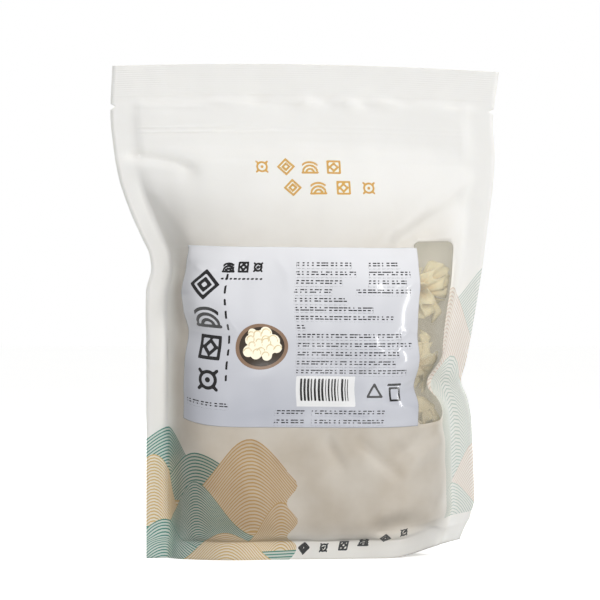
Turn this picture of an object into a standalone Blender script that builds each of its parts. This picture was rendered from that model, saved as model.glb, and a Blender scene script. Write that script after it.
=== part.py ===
"""Stand-up zip pouch of dried white tree fungus: a filled, sealed food pouch with a clear
window, a pasted label and the dried ears inside, each piece a closed solid.

The films are cut flat, as the pouch maker cuts them, and then formed: a point of the flat
film is (s, t), with s across the pouch from its middle and t up from its foot, and w is the
depth into the film from its outer face. Metres, +Z up, the front facing -Y, and the foot of
the pouch on the plane z = 0.
"""

import math
import random

import bmesh
import bpy
import numpy as np
from mathutils import Matrix

OBJECT_NAME = "fungus_pouch"

# Flat sizes of the pouch
PANEL_WIDTH = 0.200
PANEL_LENGTH = 0.260
SIDE_SEAL = 0.011
FOOT_SEAL = 0.009
TOP_SEAL = 0.016
GUSSET_DEPTH = 0.042
GUSSET_HALF_WIDTH = 0.082
GUSSET_INSET = 0.0010
GUSSET_RIM = 0.0006
FILM = 0.0004
GAP = 0.0003

# Tear notches, on both side edges
NOTCH_LEVEL = 0.2390
NOTCH_REACH = 0.0025
NOTCH_HALF_HEIGHT = 0.0016

# Press-to-close zipper
ZIPPER_LEVEL = 0.2265
ZIPPER_HALF_LENGTH = 0.084
ZIPPER_FLANGE = 0.012
ZIPPER_SPACE = 0.0009
ZIPPER_EASE = 0.002
ZIPPER_STEPS = 14
RIB_STEM = 0.0003
RIB_HEAD = 0.0007
RIB_NECK = 0.0002
HOOK_WALL = 0.0006

# Clear window and label on the front, as (low, high) places on the flat film
WINDOW_ACROSS = (0.0570, 0.0815)
WINDOW_UP = (0.0725, 0.1660)
WINDOW_CORNER = 0.004
LABEL_ACROSS = (-0.0680, 0.0580)
LABEL_UP = (0.0728, 0.1628)
LABEL_TURN = math.radians(-0.6)
LABEL_THICKNESS = 0.0003
LABEL_GAP = 0.0011

# Facet lengths of the films
FRONT_FACET = 0.0100
FRONT_FACET_ACROSS = 0.0072
BACK_FACET = 0.0150
GUSSET_FACET = 0.0125
FLARE_LEVELS = (0.003, 0.007)

# Half-widths of the standing pouch, as (level t, distance from the middle)
LEFT_EDGE = (
    (0.000, 0.0818), (0.110, 0.0822), (0.125, 0.0826), (0.137, 0.0824), (0.150, 0.0798),
    (0.158, 0.0808), (0.166, 0.0842), (0.183, 0.0910), (0.201, 0.0965), (0.216, 0.0990),
    (0.236, 0.1008), (0.260, 0.0998),
)
RIGHT_EDGE = (
    (0.000, 0.0792), (0.012, 0.0845), (0.024, 0.0868), (0.040, 0.0864), (0.070, 0.0852),
    (0.082, 0.0832), (0.092, 0.0798), (0.102, 0.0822), (0.132, 0.0875), (0.156, 0.0912),
    (0.180, 0.0940), (0.200, 0.0963), (0.216, 0.0970), (0.232, 0.0960), (0.260, 0.0992),
)

# How far each panel bulges from the middle surface, as (level t, distance)
FRONT_DEPTH = (
    (0.000, 0.0310), (0.009, 0.0305), (0.012, 0.0325), (0.016, 0.0345), (0.025, 0.0366),
    (0.040, 0.0374), (0.055, 0.0370), (0.070, 0.0364), (0.095, 0.0362), (0.115, 0.0366),
    (0.133, 0.0342), (0.145, 0.0324), (0.155, 0.0316), (0.163, 0.0303), (0.170, 0.0282),
    (0.190, 0.0200), (0.200, 0.0140), (0.210, 0.0070), (0.2190, 0.0000), (0.260, 0.0000),
)
BACK_DEPTH = (
    (0.000, 0.0325), (0.009, 0.0315), (0.012, 0.0335), (0.025, 0.0365), (0.070, 0.0380),
    (0.100, 0.0375), (0.130, 0.0352), (0.150, 0.0318), (0.170, 0.0262), (0.190, 0.0175),
    (0.200, 0.0122), (0.210, 0.0060), (0.2190, 0.0000), (0.260, 0.0000),
)

# The extra room that the zipper needs, and the air held between it and the top seal
ZIPPER_STAND = (
    (0.208, 0.0000), (0.2180, 0.00145), (0.2350, 0.00145), (0.240, 0.0017), (0.244, 0.0000),
    (0.260, 0.0000),
)
ZIPPER_RAMP = 0.0045

# Height of the film's middle, and how much higher it is at the side seals
RISE = (
    (0.000, 0.0000), (0.009, 0.0090), (0.012, 0.0104), (0.016, 0.0131), (0.025, 0.0211),
    (0.040, 0.0355), (0.060, 0.0550), (0.073, 0.0677), (0.090, 0.0849), (0.120, 0.1155),
    (0.150, 0.1461), (0.163, 0.1592), (0.175, 0.1706), (0.200, 0.1944), (0.215, 0.2087),
    (0.230, 0.2233), (0.260, 0.2535),
)
LEFT_SEAL_LEAD = (
    (0.000, 0.0), (0.009, 0.0), (0.016, 0.0035), (0.025, 0.0055), (0.060, 0.0085),
    (0.075, 0.0092), (0.120, 0.0055), (0.163, 0.0010), (0.200, 0.0),
)
RIGHT_SEAL_LEAD = (
    (0.000, 0.0), (0.009, 0.0), (0.016, 0.0025), (0.060, 0.0040), (0.078, 0.0040),
    (0.105, 0.0020), (0.163, 0.0),
)

# Where the bulge peaks, and how steeply it falls to each side: higher is steeper
FRONT_PEAK = -0.015
BACK_PEAK = -0.005
FRONT_LEFT_POWER = (
    (0.000, 3.6), (0.030, 4.2), (0.075, 5.0), (0.100, 4.8), (0.118, 3.2), (0.130, 5.0),
    (0.145, 7.5), (0.155, 6.0), (0.163, 3.6), (0.180, 2.8), (0.260, 2.6),
)
FRONT_RIGHT_POWER = (
    (0.000, 5.0), (0.030, 5.0), (0.075, 6.4), (0.092, 9.5), (0.105, 8.0), (0.120, 5.0),
    (0.140, 5.2), (0.153, 3.6), (0.165, 2.4), (0.180, 2.2), (0.260, 2.2),
)
BACK_POWER = ((0.000, 2.7), (0.260, 2.7))

# Where the front is pinched flat beside the right seal, as (level t, width)
PINCH = ((0.000, 0.0), (0.074, 0.0), (0.092, 0.0058), (0.110, 0.0), (0.260, 0.0))

# Twist of the foot, bow of the mouth, droop of the mouth's corners, lifted right foot
TWIST_SLOPE = 0.150
TWIST_BOW = 1.50
TWIST_LEFT = 0.25
TWIST_TOP = 0.180
MOUTH_BOW = 0.006
MOUTH_CENTRE = -0.030
DROOP = 0.0045
DROOP_START = 0.150
LIFT = 0.0112
LIFT_START = 0.040
LIFT_TOP = 0.060

# Folds pressed into the front, as (x, t) at each end, half-width and depth
FRONT_FOLDS = (
    ((0.090, 0.208), (0.047, 0.164), 0.0060, 0.0030),
    ((-0.090, 0.205), (-0.060, 0.203), 0.0050, 0.0020),
    ((0.072, 0.071), (0.049, 0.060), 0.0060, 0.0030),
    ((0.040, 0.020), (0.066, 0.024), 0.0055, 0.0025),
)
FOLD_FADE = 0.010

# Middle of the standing pouch's box in plan, which is moved over the origin
BOX_MIDDLE = (-0.0008, -0.00261)

# Dried ears: a lattice of places inside the pouch, filled where there is room
EAR_COLUMNS = ((-0.0345, -0.0015), (0.0015, 0.0345))
EAR_SIDE_START = 0.0365
EAR_SIDE_LIMIT = 0.0780
EAR_SIDE_STEP = 0.0005
EAR_SIDE_ROOM = 0.0130
EAR_FLOORS = (0.014, 0.049, 0.084, 0.119)
EAR_HEIGHT = 0.033
EAR_SPACE = 0.0035
EAR_LEAST = 0.012
EAR_PAIR_DEPTH = 0.040
EAR_HALVES = ((0.0, 0.46), (0.54, 1.0))
EAR_THICKNESS = 0.0012
EAR_MARGIN = 0.0034
EAR_FACETS = 5
EAR_CURL = (0.55, 0.90)
EAR_RUFFLE = (0.12, 0.22)
EAR_WAVES = (3, 4, 5)
EAR_LEAN = 0.35
EAR_TAPER = 0.25

# Colours, linear, from the photograph
FILM_WHITE = (0.78, 0.75, 0.69)
LABEL_WHITE = (0.60, 0.61, 0.65)
CLEAR_FILM = (0.80, 0.76, 0.66)
ZIPPER_WHITE = (0.86, 0.86, 0.84)
FUNGUS_CREAM = (0.72, 0.58, 0.34)

FRONT = -1
BACK = 1
MIDDLE = 0
ROW_SAMPLES = 401
PROBE = 0.0005


def smooth_through(stations, at):
    """A smooth curve through (place, value) stations that never swings past them."""
    places, values = np.array(stations).T
    at = np.clip(at, places[0], places[-1])
    steps = np.diff(places)
    slopes = np.diff(values) / steps
    same_way = slopes[:-1] * slopes[1:] > 0
    total = np.where(same_way, slopes[:-1] + slopes[1:], 1.0)
    inner = np.where(same_way, 2 * slopes[:-1] * slopes[1:] / total, 0.0)
    tangents = np.concatenate([slopes[:1], inner, slopes[-1:]])
    low = np.clip(np.searchsorted(places, at, side="right") - 1, 0, len(steps) - 1)
    span = steps[low]
    share = (at - places[low]) / span
    rest = 1 - share
    start = values[low] * (1 + 2 * share) + span * tangents[low] * share
    end = values[low + 1] * (3 - 2 * share) - span * tangents[low + 1] * rest
    return start * rest**2 + end * share**2


def smooth_step(low, high, at):
    """0 below low, 1 above high, and an even ease between them."""
    share = np.clip((at - low) / (high - low), 0.0, 1.0)
    return share * share * (3 - 2 * share)


def middle_surface(x, t):
    """y of the pouch's middle surface: twisted at the foot, bowed back at the mouth."""
    fade = TWIST_LEFT + (1 - TWIST_LEFT) * (1 - smooth_step(0.0, TWIST_TOP, t))
    twist = TWIST_SLOPE * x - TWIST_BOW * x**2
    bow = 1 - ((x - MOUTH_CENTRE) / (PANEL_WIDTH / 2 - MOUTH_CENTRE)) ** 2
    return fade * twist + MOUTH_BOW * smooth_step(TWIST_TOP, PANEL_LENGTH, t) * bow


def belly_share(x, t, side):
    """How full the bulge is at x: 1 at its peak, 0 along the side seals."""
    left = SIDE_SEAL - smooth_through(LEFT_EDGE, t)
    right = smooth_through(RIGHT_EDGE, t) - SIDE_SEAL
    if side == FRONT:
        peak = FRONT_PEAK
        left_power = smooth_through(FRONT_LEFT_POWER, t)
        right_power = smooth_through(FRONT_RIGHT_POWER, t)
        right = right - smooth_through(PINCH, t)
    else:
        peak = BACK_PEAK
        left_power = right_power = smooth_through(BACK_POWER, t)
    to_left = np.clip((peak - x) / (peak - left), 0.0, 1.0)
    to_right = np.clip((x - peak) / (right - peak), 0.0, 1.0)
    return 1 - to_left**left_power - to_right**right_power


def zipper_share(x, t):
    """1 where the zipper holds the panels apart, easing to 0 at the side seals."""
    left = SIDE_SEAL - smooth_through(LEFT_EDGE, t)
    right = smooth_through(RIGHT_EDGE, t) - SIDE_SEAL
    rise = smooth_step(left, left + ZIPPER_RAMP, x)
    return rise * (1 - smooth_step(right - ZIPPER_RAMP, right, x))


def fold_depth(x, t):
    """How far the folds press the front in."""
    total = np.zeros_like(x)
    for (x0, t0), (x1, t1), half_width, depth in FRONT_FOLDS:
        along = np.array([x1 - x0, t1 - t0])
        share = ((x - x0) * along[0] + (t - t0) * along[1]) / along.dot(along)
        share = np.clip(share, 0.0, 1.0)
        away = np.hypot(x - x0 - share * along[0], t - t0 - share * along[1])
        total = total + depth * np.exp(-((away / half_width) ** 2))
    return total


def stand_off(x, t, side):
    """Distance from the middle surface to a panel's outer face."""
    if side == MIDDLE:
        return np.zeros_like(x)
    belly = smooth_through(FRONT_DEPTH if side == FRONT else BACK_DEPTH, t)
    off = belly * belly_share(x, t, side)
    if side == FRONT:
        off = off - fold_depth(x, t) * np.clip(off / FOLD_FADE, 0.0, 1.0)
    stand = smooth_through(ZIPPER_STAND, t) * zipper_share(x, t)
    return GAP / 2 + FILM + off + stand


def film_row(t, side):
    """One level of a film: places across it, laid flat, and the x that each comes to."""
    left = -smooth_through(LEFT_EDGE, t)
    right = smooth_through(RIGHT_EDGE, t)
    x = np.linspace(left, right, ROW_SAMPLES)
    y = middle_surface(x, t) + side * stand_off(x, t, side)
    run = np.concatenate([[0.0], np.cumsum(np.hypot(np.diff(x), np.diff(y)))])
    return run / run[-1] * PANEL_WIDTH - PANEL_WIDTH / 2, x


def height(x, t):
    """z of a film point: its rise, the mouth's drooping corners and the lifted foot."""
    on_left = x < FRONT_PEAK
    lead = np.where(on_left, smooth_through(LEFT_SEAL_LEAD, t), smooth_through(RIGHT_SEAL_LEAD, t))
    rise = smooth_through(RISE, t) + lead * (1 - belly_share(x, t, FRONT))
    reach = (x - MOUTH_CENTRE) / (PANEL_WIDTH / 2 - MOUTH_CENTRE)
    droop = DROOP * smooth_step(DROOP_START, PANEL_LENGTH, t) * reach**2
    lift = LIFT * smooth_step(LIFT_START, PANEL_WIDTH / 2, x) * (1 - smooth_step(0.0, LIFT_TOP, t))
    return rise - droop + lift


def outer_face(s, t, side):
    """Points on a film's outer face for places (s, t) of the flat film."""
    x = np.empty_like(s)
    for level in np.unique(t):
        here = t == level
        across, row_x = film_row(level, side)
        x[here] = np.interp(s[here], across, row_x)
    y = middle_surface(x, t) + side * stand_off(x, t, side)
    return np.stack([x, y, height(x, t)], axis=1)


def outward(s, t, side):
    """Unit normals that point out of the pouch; level along the foot, so it stands flat."""
    edge = PANEL_WIDTH / 2
    east = outer_face(np.clip(s + PROBE, -edge, edge), t, side)
    west = outer_face(np.clip(s - PROBE, -edge, edge), t, side)
    above = outer_face(s, np.clip(t + PROBE, 0.0, PANEL_LENGTH), side)
    below = outer_face(s, np.clip(t - PROBE, 0.0, PANEL_LENGTH), side)
    normal = -side * np.cross(east - west, above - below)
    normal[t <= 0.0, 2] = 0.0
    return normal / np.linalg.norm(normal, axis=1, keepdims=True)


def film_point(s, t, w, side):
    """Points w deep in a film, from its outer face."""
    return outer_face(s, t, side) - outward(s, t, side) * w[:, None]


def grid_lines(marks, facet):
    """Places from the first mark to the last, on every mark and no further apart than facet."""
    places = [marks[0]]
    for low, high in zip(marks[:-1], marks[1:]):
        count = max(1, math.ceil((high - low) / facet - 1e-6))
        places.extend(np.linspace(low, high, count + 1)[1:])
    return places


def flat_grid(across, up):
    """A flat sheet whose grid lines lie at the given places."""
    sheet = bmesh.new()
    columns = len(across) - 1
    rows = len(up) - 1
    bmesh.ops.create_grid(sheet, x_segments=columns, y_segments=rows, size=1.0)
    for vertex in sheet.verts:
        column = round((vertex.co.x + 1) / 2 * columns)
        row = round((vertex.co.y + 1) / 2 * rows)
        vertex.co = (across[column], up[row], 0.0)
    return sheet


def cut_window(sheet, across, up):
    """Cut a rectangular hole along grid lines."""
    inside = []
    for face in sheet.faces:
        middle = face.calc_center_median()
        if across[0] < middle.x < across[1] and up[0] < middle.y < up[1]:
            inside.append(face)
    bmesh.ops.delete(sheet, geom=inside, context="FACES")


def round_corners(sheet, across, up, radius):
    """Round the four corners of a rectangle cut along grid lines."""
    corners = []
    for vertex in sheet.verts:
        on_side = min(abs(vertex.co.x - place) for place in across) < 1e-6
        on_level = min(abs(vertex.co.y - place) for place in up) < 1e-6
        if on_side and on_level:
            corners.append(vertex)
    bmesh.ops.bevel(
        sheet, geom=corners, offset=radius, segments=3, profile=0.5, affect="VERTICES",
        material=-1,
    )


def cut_notches(sheet):
    """Nick both side edges, for tearing."""
    for vertex in sheet.verts:
        on_edge = abs(abs(vertex.co.x) - PANEL_WIDTH / 2) < 1e-6
        if on_edge and abs(vertex.co.y - NOTCH_LEVEL) < 1e-6:
            vertex.co.x -= math.copysign(NOTCH_REACH, vertex.co.x)


def thicken(sheet, thickness):
    """Give a flat sheet its thickness, downwards from z = 0."""
    bmesh.ops.triangulate(sheet, faces=sheet.faces[:])
    bmesh.ops.solidify(sheet, geom=sheet.faces[:], thickness=thickness)


def face_outward(sheet):
    """Turn a closed shape's faces the same way, and outwards."""
    bmesh.ops.recalc_face_normals(sheet, faces=sheet.faces[:])
    if sheet.calc_volume(signed=True) < 0:
        bmesh.ops.reverse_faces(sheet, faces=sheet.faces[:])


def form(sheet, place):
    """Move every vertex of a thick flat sheet to where place(s, t, w) puts it."""
    sheet.verts.ensure_lookup_table()
    flat = np.array([vertex.co for vertex in sheet.verts])
    depth = flat[:, 2].max() - flat[:, 2]
    for vertex, point in zip(sheet.verts, place(flat[:, 0], flat[:, 1], depth)):
        vertex.co = point
    face_outward(sheet)


def add_object(sheet, name, material, collection):
    """Turn a bmesh into a named object with a material, centred on the pouch's box."""
    move = (-BOX_MIDDLE[0], -BOX_MIDDLE[1], 0.0)
    bmesh.ops.translate(sheet, vec=move, verts=sheet.verts[:])
    mesh = bpy.data.meshes.new(name)
    sheet.to_mesh(mesh)
    sheet.free()
    mesh.materials.append(material)
    mesh.shade_smooth()
    mesh.set_sharp_from_angle(angle=math.radians(40))
    made = bpy.data.objects.new(name, mesh)
    collection.objects.link(made)
    return made


def surface_material(name, colour, roughness, alpha=1.0, clear=0.0):
    """A Principled material with the piece's colour and gloss."""
    material = bpy.data.materials.new(name)
    material.use_nodes = True
    shader = material.node_tree.nodes["Principled BSDF"]
    shader.inputs["Base Color"].default_value = (*colour, 1.0)
    shader.inputs["Roughness"].default_value = roughness
    shader.inputs["Metallic"].default_value = 0.0
    shader.inputs["Alpha"].default_value = alpha
    shader.inputs["Transmission Weight"].default_value = clear
    return material


def side_marks():
    """Places of the side seals across a film, and where the zipper's ramps end."""
    half = PANEL_WIDTH / 2
    seal = half - SIDE_SEAL
    ramp = seal - ZIPPER_RAMP
    return (-half, -seal, -ramp, ramp, seal, half)


def front_lines():
    """Grid lines of the front film, which the window shares."""
    across = (*side_marks(), *WINDOW_ACROSS)
    flare = [FOOT_SEAL + step for step in FLARE_LEVELS]
    up = (0.0, FOOT_SEAL, *flare, *WINDOW_UP, *zipper_marks())
    return grid_lines(sorted(across), FRONT_FACET_ACROSS), grid_lines(sorted(up), FRONT_FACET)


def zipper_marks():
    """Levels of the zipper, the notches and the top seal."""
    return (
        ZIPPER_LEVEL - ZIPPER_FLANGE / 2 - ZIPPER_EASE,
        ZIPPER_LEVEL + ZIPPER_FLANGE / 2 + ZIPPER_EASE,
        NOTCH_LEVEL - NOTCH_HALF_HEIGHT,
        NOTCH_LEVEL,
        NOTCH_LEVEL + NOTCH_HALF_HEIGHT,
        PANEL_LENGTH - TOP_SEAL,
        PANEL_LENGTH,
    )


def between(places, low, high):
    """The places from low to high."""
    return [place for place in places if low - 1e-6 <= place <= high + 1e-6]


def make_front_panel(material, collection):
    """The printed front film, with its side seals, window opening and notches."""
    across, up = front_lines()
    sheet = flat_grid(across, up)
    cut_window(sheet, WINDOW_ACROSS, WINDOW_UP)
    round_corners(sheet, WINDOW_ACROSS, WINDOW_UP, WINDOW_CORNER)
    cut_notches(sheet)
    thicken(sheet, FILM)
    form(sheet, lambda s, t, w: film_point(s, t, w, FRONT))
    add_object(sheet, "front_panel", material, collection)


def make_back_panel(material, collection):
    """The back film, with the same seals and notches and no window."""
    across = grid_lines(side_marks(), BACK_FACET)
    up = grid_lines((0.0, FOOT_SEAL, FOOT_SEAL + FLARE_LEVELS[0], *zipper_marks()), BACK_FACET)
    sheet = flat_grid(across, up)
    cut_notches(sheet)
    thicken(sheet, FILM)
    form(sheet, lambda s, t, w: film_point(s, t, w, BACK))
    add_object(sheet, "back_panel", material, collection)


def make_window(material, collection):
    """The clear pane, smaller than the opening that it closes by a gap all round."""
    across, up = front_lines()
    across = between(across, *WINDOW_ACROSS)
    up = between(up, *WINDOW_UP)
    across[0] += GAP
    across[-1] -= GAP
    up[0] += GAP
    up[-1] -= GAP
    sheet = flat_grid(across, up)
    corner = WINDOW_CORNER - GAP
    round_corners(sheet, (across[0], across[-1]), (up[0], up[-1]), corner)
    thicken(sheet, FILM)
    form(sheet, lambda s, t, w: film_point(s, t, w, FRONT))
    add_object(sheet, "window", material, collection)


def make_label(material, collection):
    """The label pasted on the front, a little askew, over most of the window."""
    across = grid_lines(LABEL_ACROSS, FRONT_FACET_ACROSS)
    up = grid_lines(LABEL_UP, FRONT_FACET)
    sheet = flat_grid(across, up)
    thicken(sheet, LABEL_THICKNESS)
    centre = (sum(LABEL_ACROSS) / 2, sum(LABEL_UP) / 2, 0.0)
    turn = Matrix.Rotation(LABEL_TURN, 3, "Z")
    bmesh.ops.rotate(sheet, verts=sheet.verts[:], cent=centre, matrix=turn)
    lowest = LABEL_GAP + LABEL_THICKNESS
    form(sheet, lambda s, t, w: film_point(s, t, w - lowest, FRONT))
    add_object(sheet, "label", material, collection)


def gusset_point(s, v):
    """Points of the bottom gusset, v along it from the front rim over its fold to the back."""
    rim = np.minimum(v, 2 * GUSSET_DEPTH - v)
    inset = np.full_like(s, GUSSET_INSET)
    skirt = np.minimum(rim, FOOT_SEAL)
    front = film_point(s, skirt, inset, FRONT)
    back = film_point(s, skirt, inset, BACK)
    on_front = v <= GUSSET_DEPTH
    start = np.where(on_front[:, None], front, back)
    other = np.where(on_front[:, None], back, front)
    fold = (start + other) / 2
    spread = np.abs(start[:, 1] - other[:, 1]) / 2
    leg = GUSSET_DEPTH - FOOT_SEAL
    fold[:, 2] += np.sqrt(np.maximum(leg**2 - spread**2, 0.0))
    share = np.clip((rim - FOOT_SEAL) / leg, 0.0, 1.0)
    return start + (fold - start) * share[:, None]


def make_bottom_gusset(material, collection):
    """The folded film that joins the two panels at the foot and lets the pouch stand."""
    half = GUSSET_HALF_WIDTH
    across = grid_lines((-half, half), GUSSET_FACET)
    leg = (GUSSET_DEPTH - FOOT_SEAL) / 2
    marks = (
        GUSSET_RIM, FOOT_SEAL, FOOT_SEAL + leg, GUSSET_DEPTH, GUSSET_DEPTH + leg,
        2 * GUSSET_DEPTH - FOOT_SEAL, 2 * GUSSET_DEPTH - GUSSET_RIM,
    )
    sheet = flat_grid(across, grid_lines(marks, GUSSET_DEPTH))
    flat = np.array([vertex.co for vertex in sheet.verts])
    for vertex, point in zip(sheet.verts, gusset_point(flat[:, 0], flat[:, 1])):
        vertex.co = point
    bmesh.ops.triangulate(sheet, faces=sheet.faces[:])
    made = add_object(sheet, "bottom_gusset", material, collection)
    wall = made.modifiers.new("film", "SOLIDIFY")
    wall.thickness = FILM
    wall.offset = -1.0


def zipper_point(s, t, w):
    """Points of a zipper strip, w in front of the middle surface."""
    middle = outer_face(s, t, MIDDLE)
    middle[:, 1] -= w
    return middle


def make_zipper_strip(name, outline, material, collection):
    """Sweep a strip's outline, (level, distance in front), along the mouth."""
    sheet = bmesh.new()
    loop = [sheet.verts.new((-ZIPPER_HALF_LENGTH, ZIPPER_LEVEL + up, out)) for up, out in outline]
    end = sheet.faces.new(loop)
    step = (2 * ZIPPER_HALF_LENGTH / ZIPPER_STEPS, 0, 0)
    bmesh.ops.spin(
        sheet, geom=[end, *end.edges, *end.verts], cent=(0, 0, 0), axis=(0, 0, 1),
        dvec=step, angle=0.0, steps=ZIPPER_STEPS, use_duplicate=False,
    )
    bmesh.ops.remove_doubles(sheet, verts=sheet.verts[:], dist=1e-6)
    bmesh.ops.triangulate(sheet, faces=sheet.faces[:])
    flat = np.array([vertex.co for vertex in sheet.verts])
    for vertex, point in zip(sheet.verts, zipper_point(flat[:, 0], flat[:, 1], flat[:, 2])):
        vertex.co = point
    face_outward(sheet)
    add_object(sheet, name, material, collection)


def make_zipper(material, collection):
    """A rib with a wide head on the front strip, held between two hooks on the back one."""
    flange = ZIPPER_FLANGE / 2
    inner = ZIPPER_SPACE
    outer = ZIPPER_SPACE + FILM
    stem = RIB_STEM
    head = RIB_HEAD
    neck = -RIB_NECK
    tip = GAP - ZIPPER_SPACE
    rib = (
        (-flange, outer), (-flange, inner), (-stem, inner), (-stem, neck), (-head, neck),
        (-head, tip), (head, tip), (head, neck), (stem, neck), (stem, inner),
        (flange, inner), (flange, outer),
    )
    wall_in = head + GAP
    wall_out = wall_in + HOOK_WALL
    hook = stem + GAP
    hook_low = neck + GAP
    hook_high = ZIPPER_SPACE - GAP
    groove = (
        (-flange, -outer), (flange, -outer), (flange, -inner), (wall_out, -inner),
        (wall_out, hook_high), (hook, hook_high), (hook, hook_low), (wall_in, hook_low),
        (wall_in, -inner), (-wall_in, -inner), (-wall_in, hook_low), (-hook, hook_low),
        (-hook, hook_high), (-wall_out, hook_high), (-wall_out, -inner), (-flange, -inner),
    )
    make_zipper_strip("zipper_front", rib, material, collection)
    make_zipper_strip("zipper_back", groove, material, collection)


def inside_limits(x, z):
    """y of the inner faces of the front and the back film at a place inside the pouch."""
    levels, rises = np.array(RISE).T
    t = np.interp(z, rises, levels)
    here = np.array([x])
    up = np.array([t])
    front = middle_surface(here, up) - stand_off(here, up, FRONT) + FILM
    back = middle_surface(here, up) + stand_off(here, up, BACK) - FILM
    return float(front[0]), float(back[0])


def gusset_top(x):
    """Highest point of the gusset's fold at about x."""
    fold = gusset_point(np.array([x]), np.array([GUSSET_DEPTH]))
    return float(fold[0, 2])


def depth_at(x, z):
    """Depth between the films' inner faces at a place inside the pouch."""
    front, back = inside_limits(x, z)
    return back - front


def side_column(side, low, high):
    """(left, right) of the outer ear of a row, out to where the films close in on it."""
    levels = np.linspace(low, high, 5)
    reach = EAR_SIDE_LIMIT
    while min(depth_at(side * reach, z) for z in levels) < EAR_SIDE_ROOM:
        reach -= EAR_SIDE_STEP
    return tuple(sorted((side * EAR_SIDE_START, side * reach)))


def ear_places():
    """(x range, z range, range of depth as shares from front to back) of each dried ear."""
    places = []
    for floor in EAR_FLOORS:
        high = floor + EAR_HEIGHT
        sides = [side_column(side, floor, high) for side in (-1, 1)]
        for across in (sides[0], *EAR_COLUMNS, sides[1]):
            low = max(floor, max(gusset_top(x) for x in across) + EAR_SPACE)
            if high - low < EAR_LEAST:
                continue
            room = min(depth_at(x, z) for x in across for z in (low, high))
            halves = EAR_HALVES if room > EAR_PAIR_DEPTH else ((0.0, 1.0),)
            places.extend((across, (low, high), half) for half in halves)
    return places


def make_ear(name, place, draw, material, collection):
    """One dried ear: a thin curled cup with a ruffled rim, fitted between the films."""
    sheet = bmesh.new()
    bmesh.ops.create_grid(sheet, x_segments=EAR_FACETS, y_segments=EAR_FACETS, size=1.0)
    curl = draw.uniform(*EAR_CURL)
    ruffle = draw.uniform(*EAR_RUFFLE)
    waves = draw.choice(EAR_WAVES)
    phase = draw.uniform(0.0, math.tau)
    lean = draw.uniform(-EAR_LEAN, EAR_LEAN)
    for vertex in sheet.verts:
        u, v, _ = vertex.co
        reach = max(abs(u), abs(v))
        round_off = reach / max(math.hypot(u, v), 1e-9)
        u, v = u * round_off, v * round_off
        around = math.atan2(v, u)
        cup = curl * reach**2 + ruffle * reach**2 * math.sin(waves * around + phase)
        vertex.co = (u * (1 - EAR_TAPER * reach * curl), cup + lean * u, v)
    bmesh.ops.triangulate(sheet, faces=sheet.faces[:])
    turn = draw.choice((-1, 1))
    points = np.array([vertex.co for vertex in sheet.verts])
    low = points.min(axis=0)
    span = points.max(axis=0) - low
    (left, right), (bottom, top), (near, far) = place
    for vertex, point in zip(sheet.verts, points):
        across, deep, up = (point - low) / span
        x = left + EAR_MARGIN / 2 + across * (right - left - EAR_MARGIN)
        z = bottom + EAR_MARGIN / 2 + up * (top - bottom - EAR_MARGIN)
        front, back = inside_limits(x, z)
        deep = near + (deep if turn > 0 else 1 - deep) * (far - near)
        y = front + EAR_SPACE + deep * (back - front - 2 * EAR_SPACE)
        vertex.co = (x, y, z)
    bmesh.ops.recalc_face_normals(sheet, faces=sheet.faces[:])
    made = add_object(sheet, name, material, collection)
    wall = made.modifiers.new("flesh", "SOLIDIFY")
    wall.thickness = EAR_THICKNESS
    wall.offset = 0.0


def make_ears(material, collection):
    """All the dried ears that fill the pouch."""
    draw = random.Random(7)
    for number, place in enumerate(ear_places(), start=1):
        make_ear(f"ear_{number:02d}", place, draw, material, collection)


def main():
    """Clear the scene and build the pouch and what is in it."""
    for old in list(bpy.data.objects):
        bpy.data.objects.remove(old, do_unlink=True)
    collection = bpy.data.collections.new(OBJECT_NAME)
    bpy.context.scene.collection.children.link(collection)
    film = surface_material("pouch_film", FILM_WHITE, 0.35)
    clear = surface_material("clear_film", CLEAR_FILM, 0.08, alpha=0.35, clear=0.9)
    paper = surface_material("label_film", LABEL_WHITE, 0.12)
    zipper = surface_material("zipper_plastic", ZIPPER_WHITE, 0.3)
    fungus = surface_material("dried_fungus", FUNGUS_CREAM, 0.7)
    make_front_panel(film, collection)
    make_back_panel(film, collection)
    make_bottom_gusset(film, collection)
    make_window(clear, collection)
    make_label(paper, collection)
    make_zipper(zipper, collection)
    make_ears(fungus, collection)


main()
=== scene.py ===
"""Looks of a sealed stand-up pouch of dried white tree fungus: white printed film with a clear
window, a glossy pasted label, a press-to-close zipper and the ruffled dried ears inside.

The films are cut flat, as the pouch maker cuts them, and then formed: s is a place across the
flat film from its middle, t a place up from its foot, both in metres. The file is laid out as
an add-on and run as a script: main() registers its classes and calls its operators in order.
"""

import cmath
import math
import random

import bmesh
import bpy
import numpy as np
from bpy.props import FloatProperty, FloatVectorProperty, IntProperty, PointerProperty
from mathutils import Matrix, Vector


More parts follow.
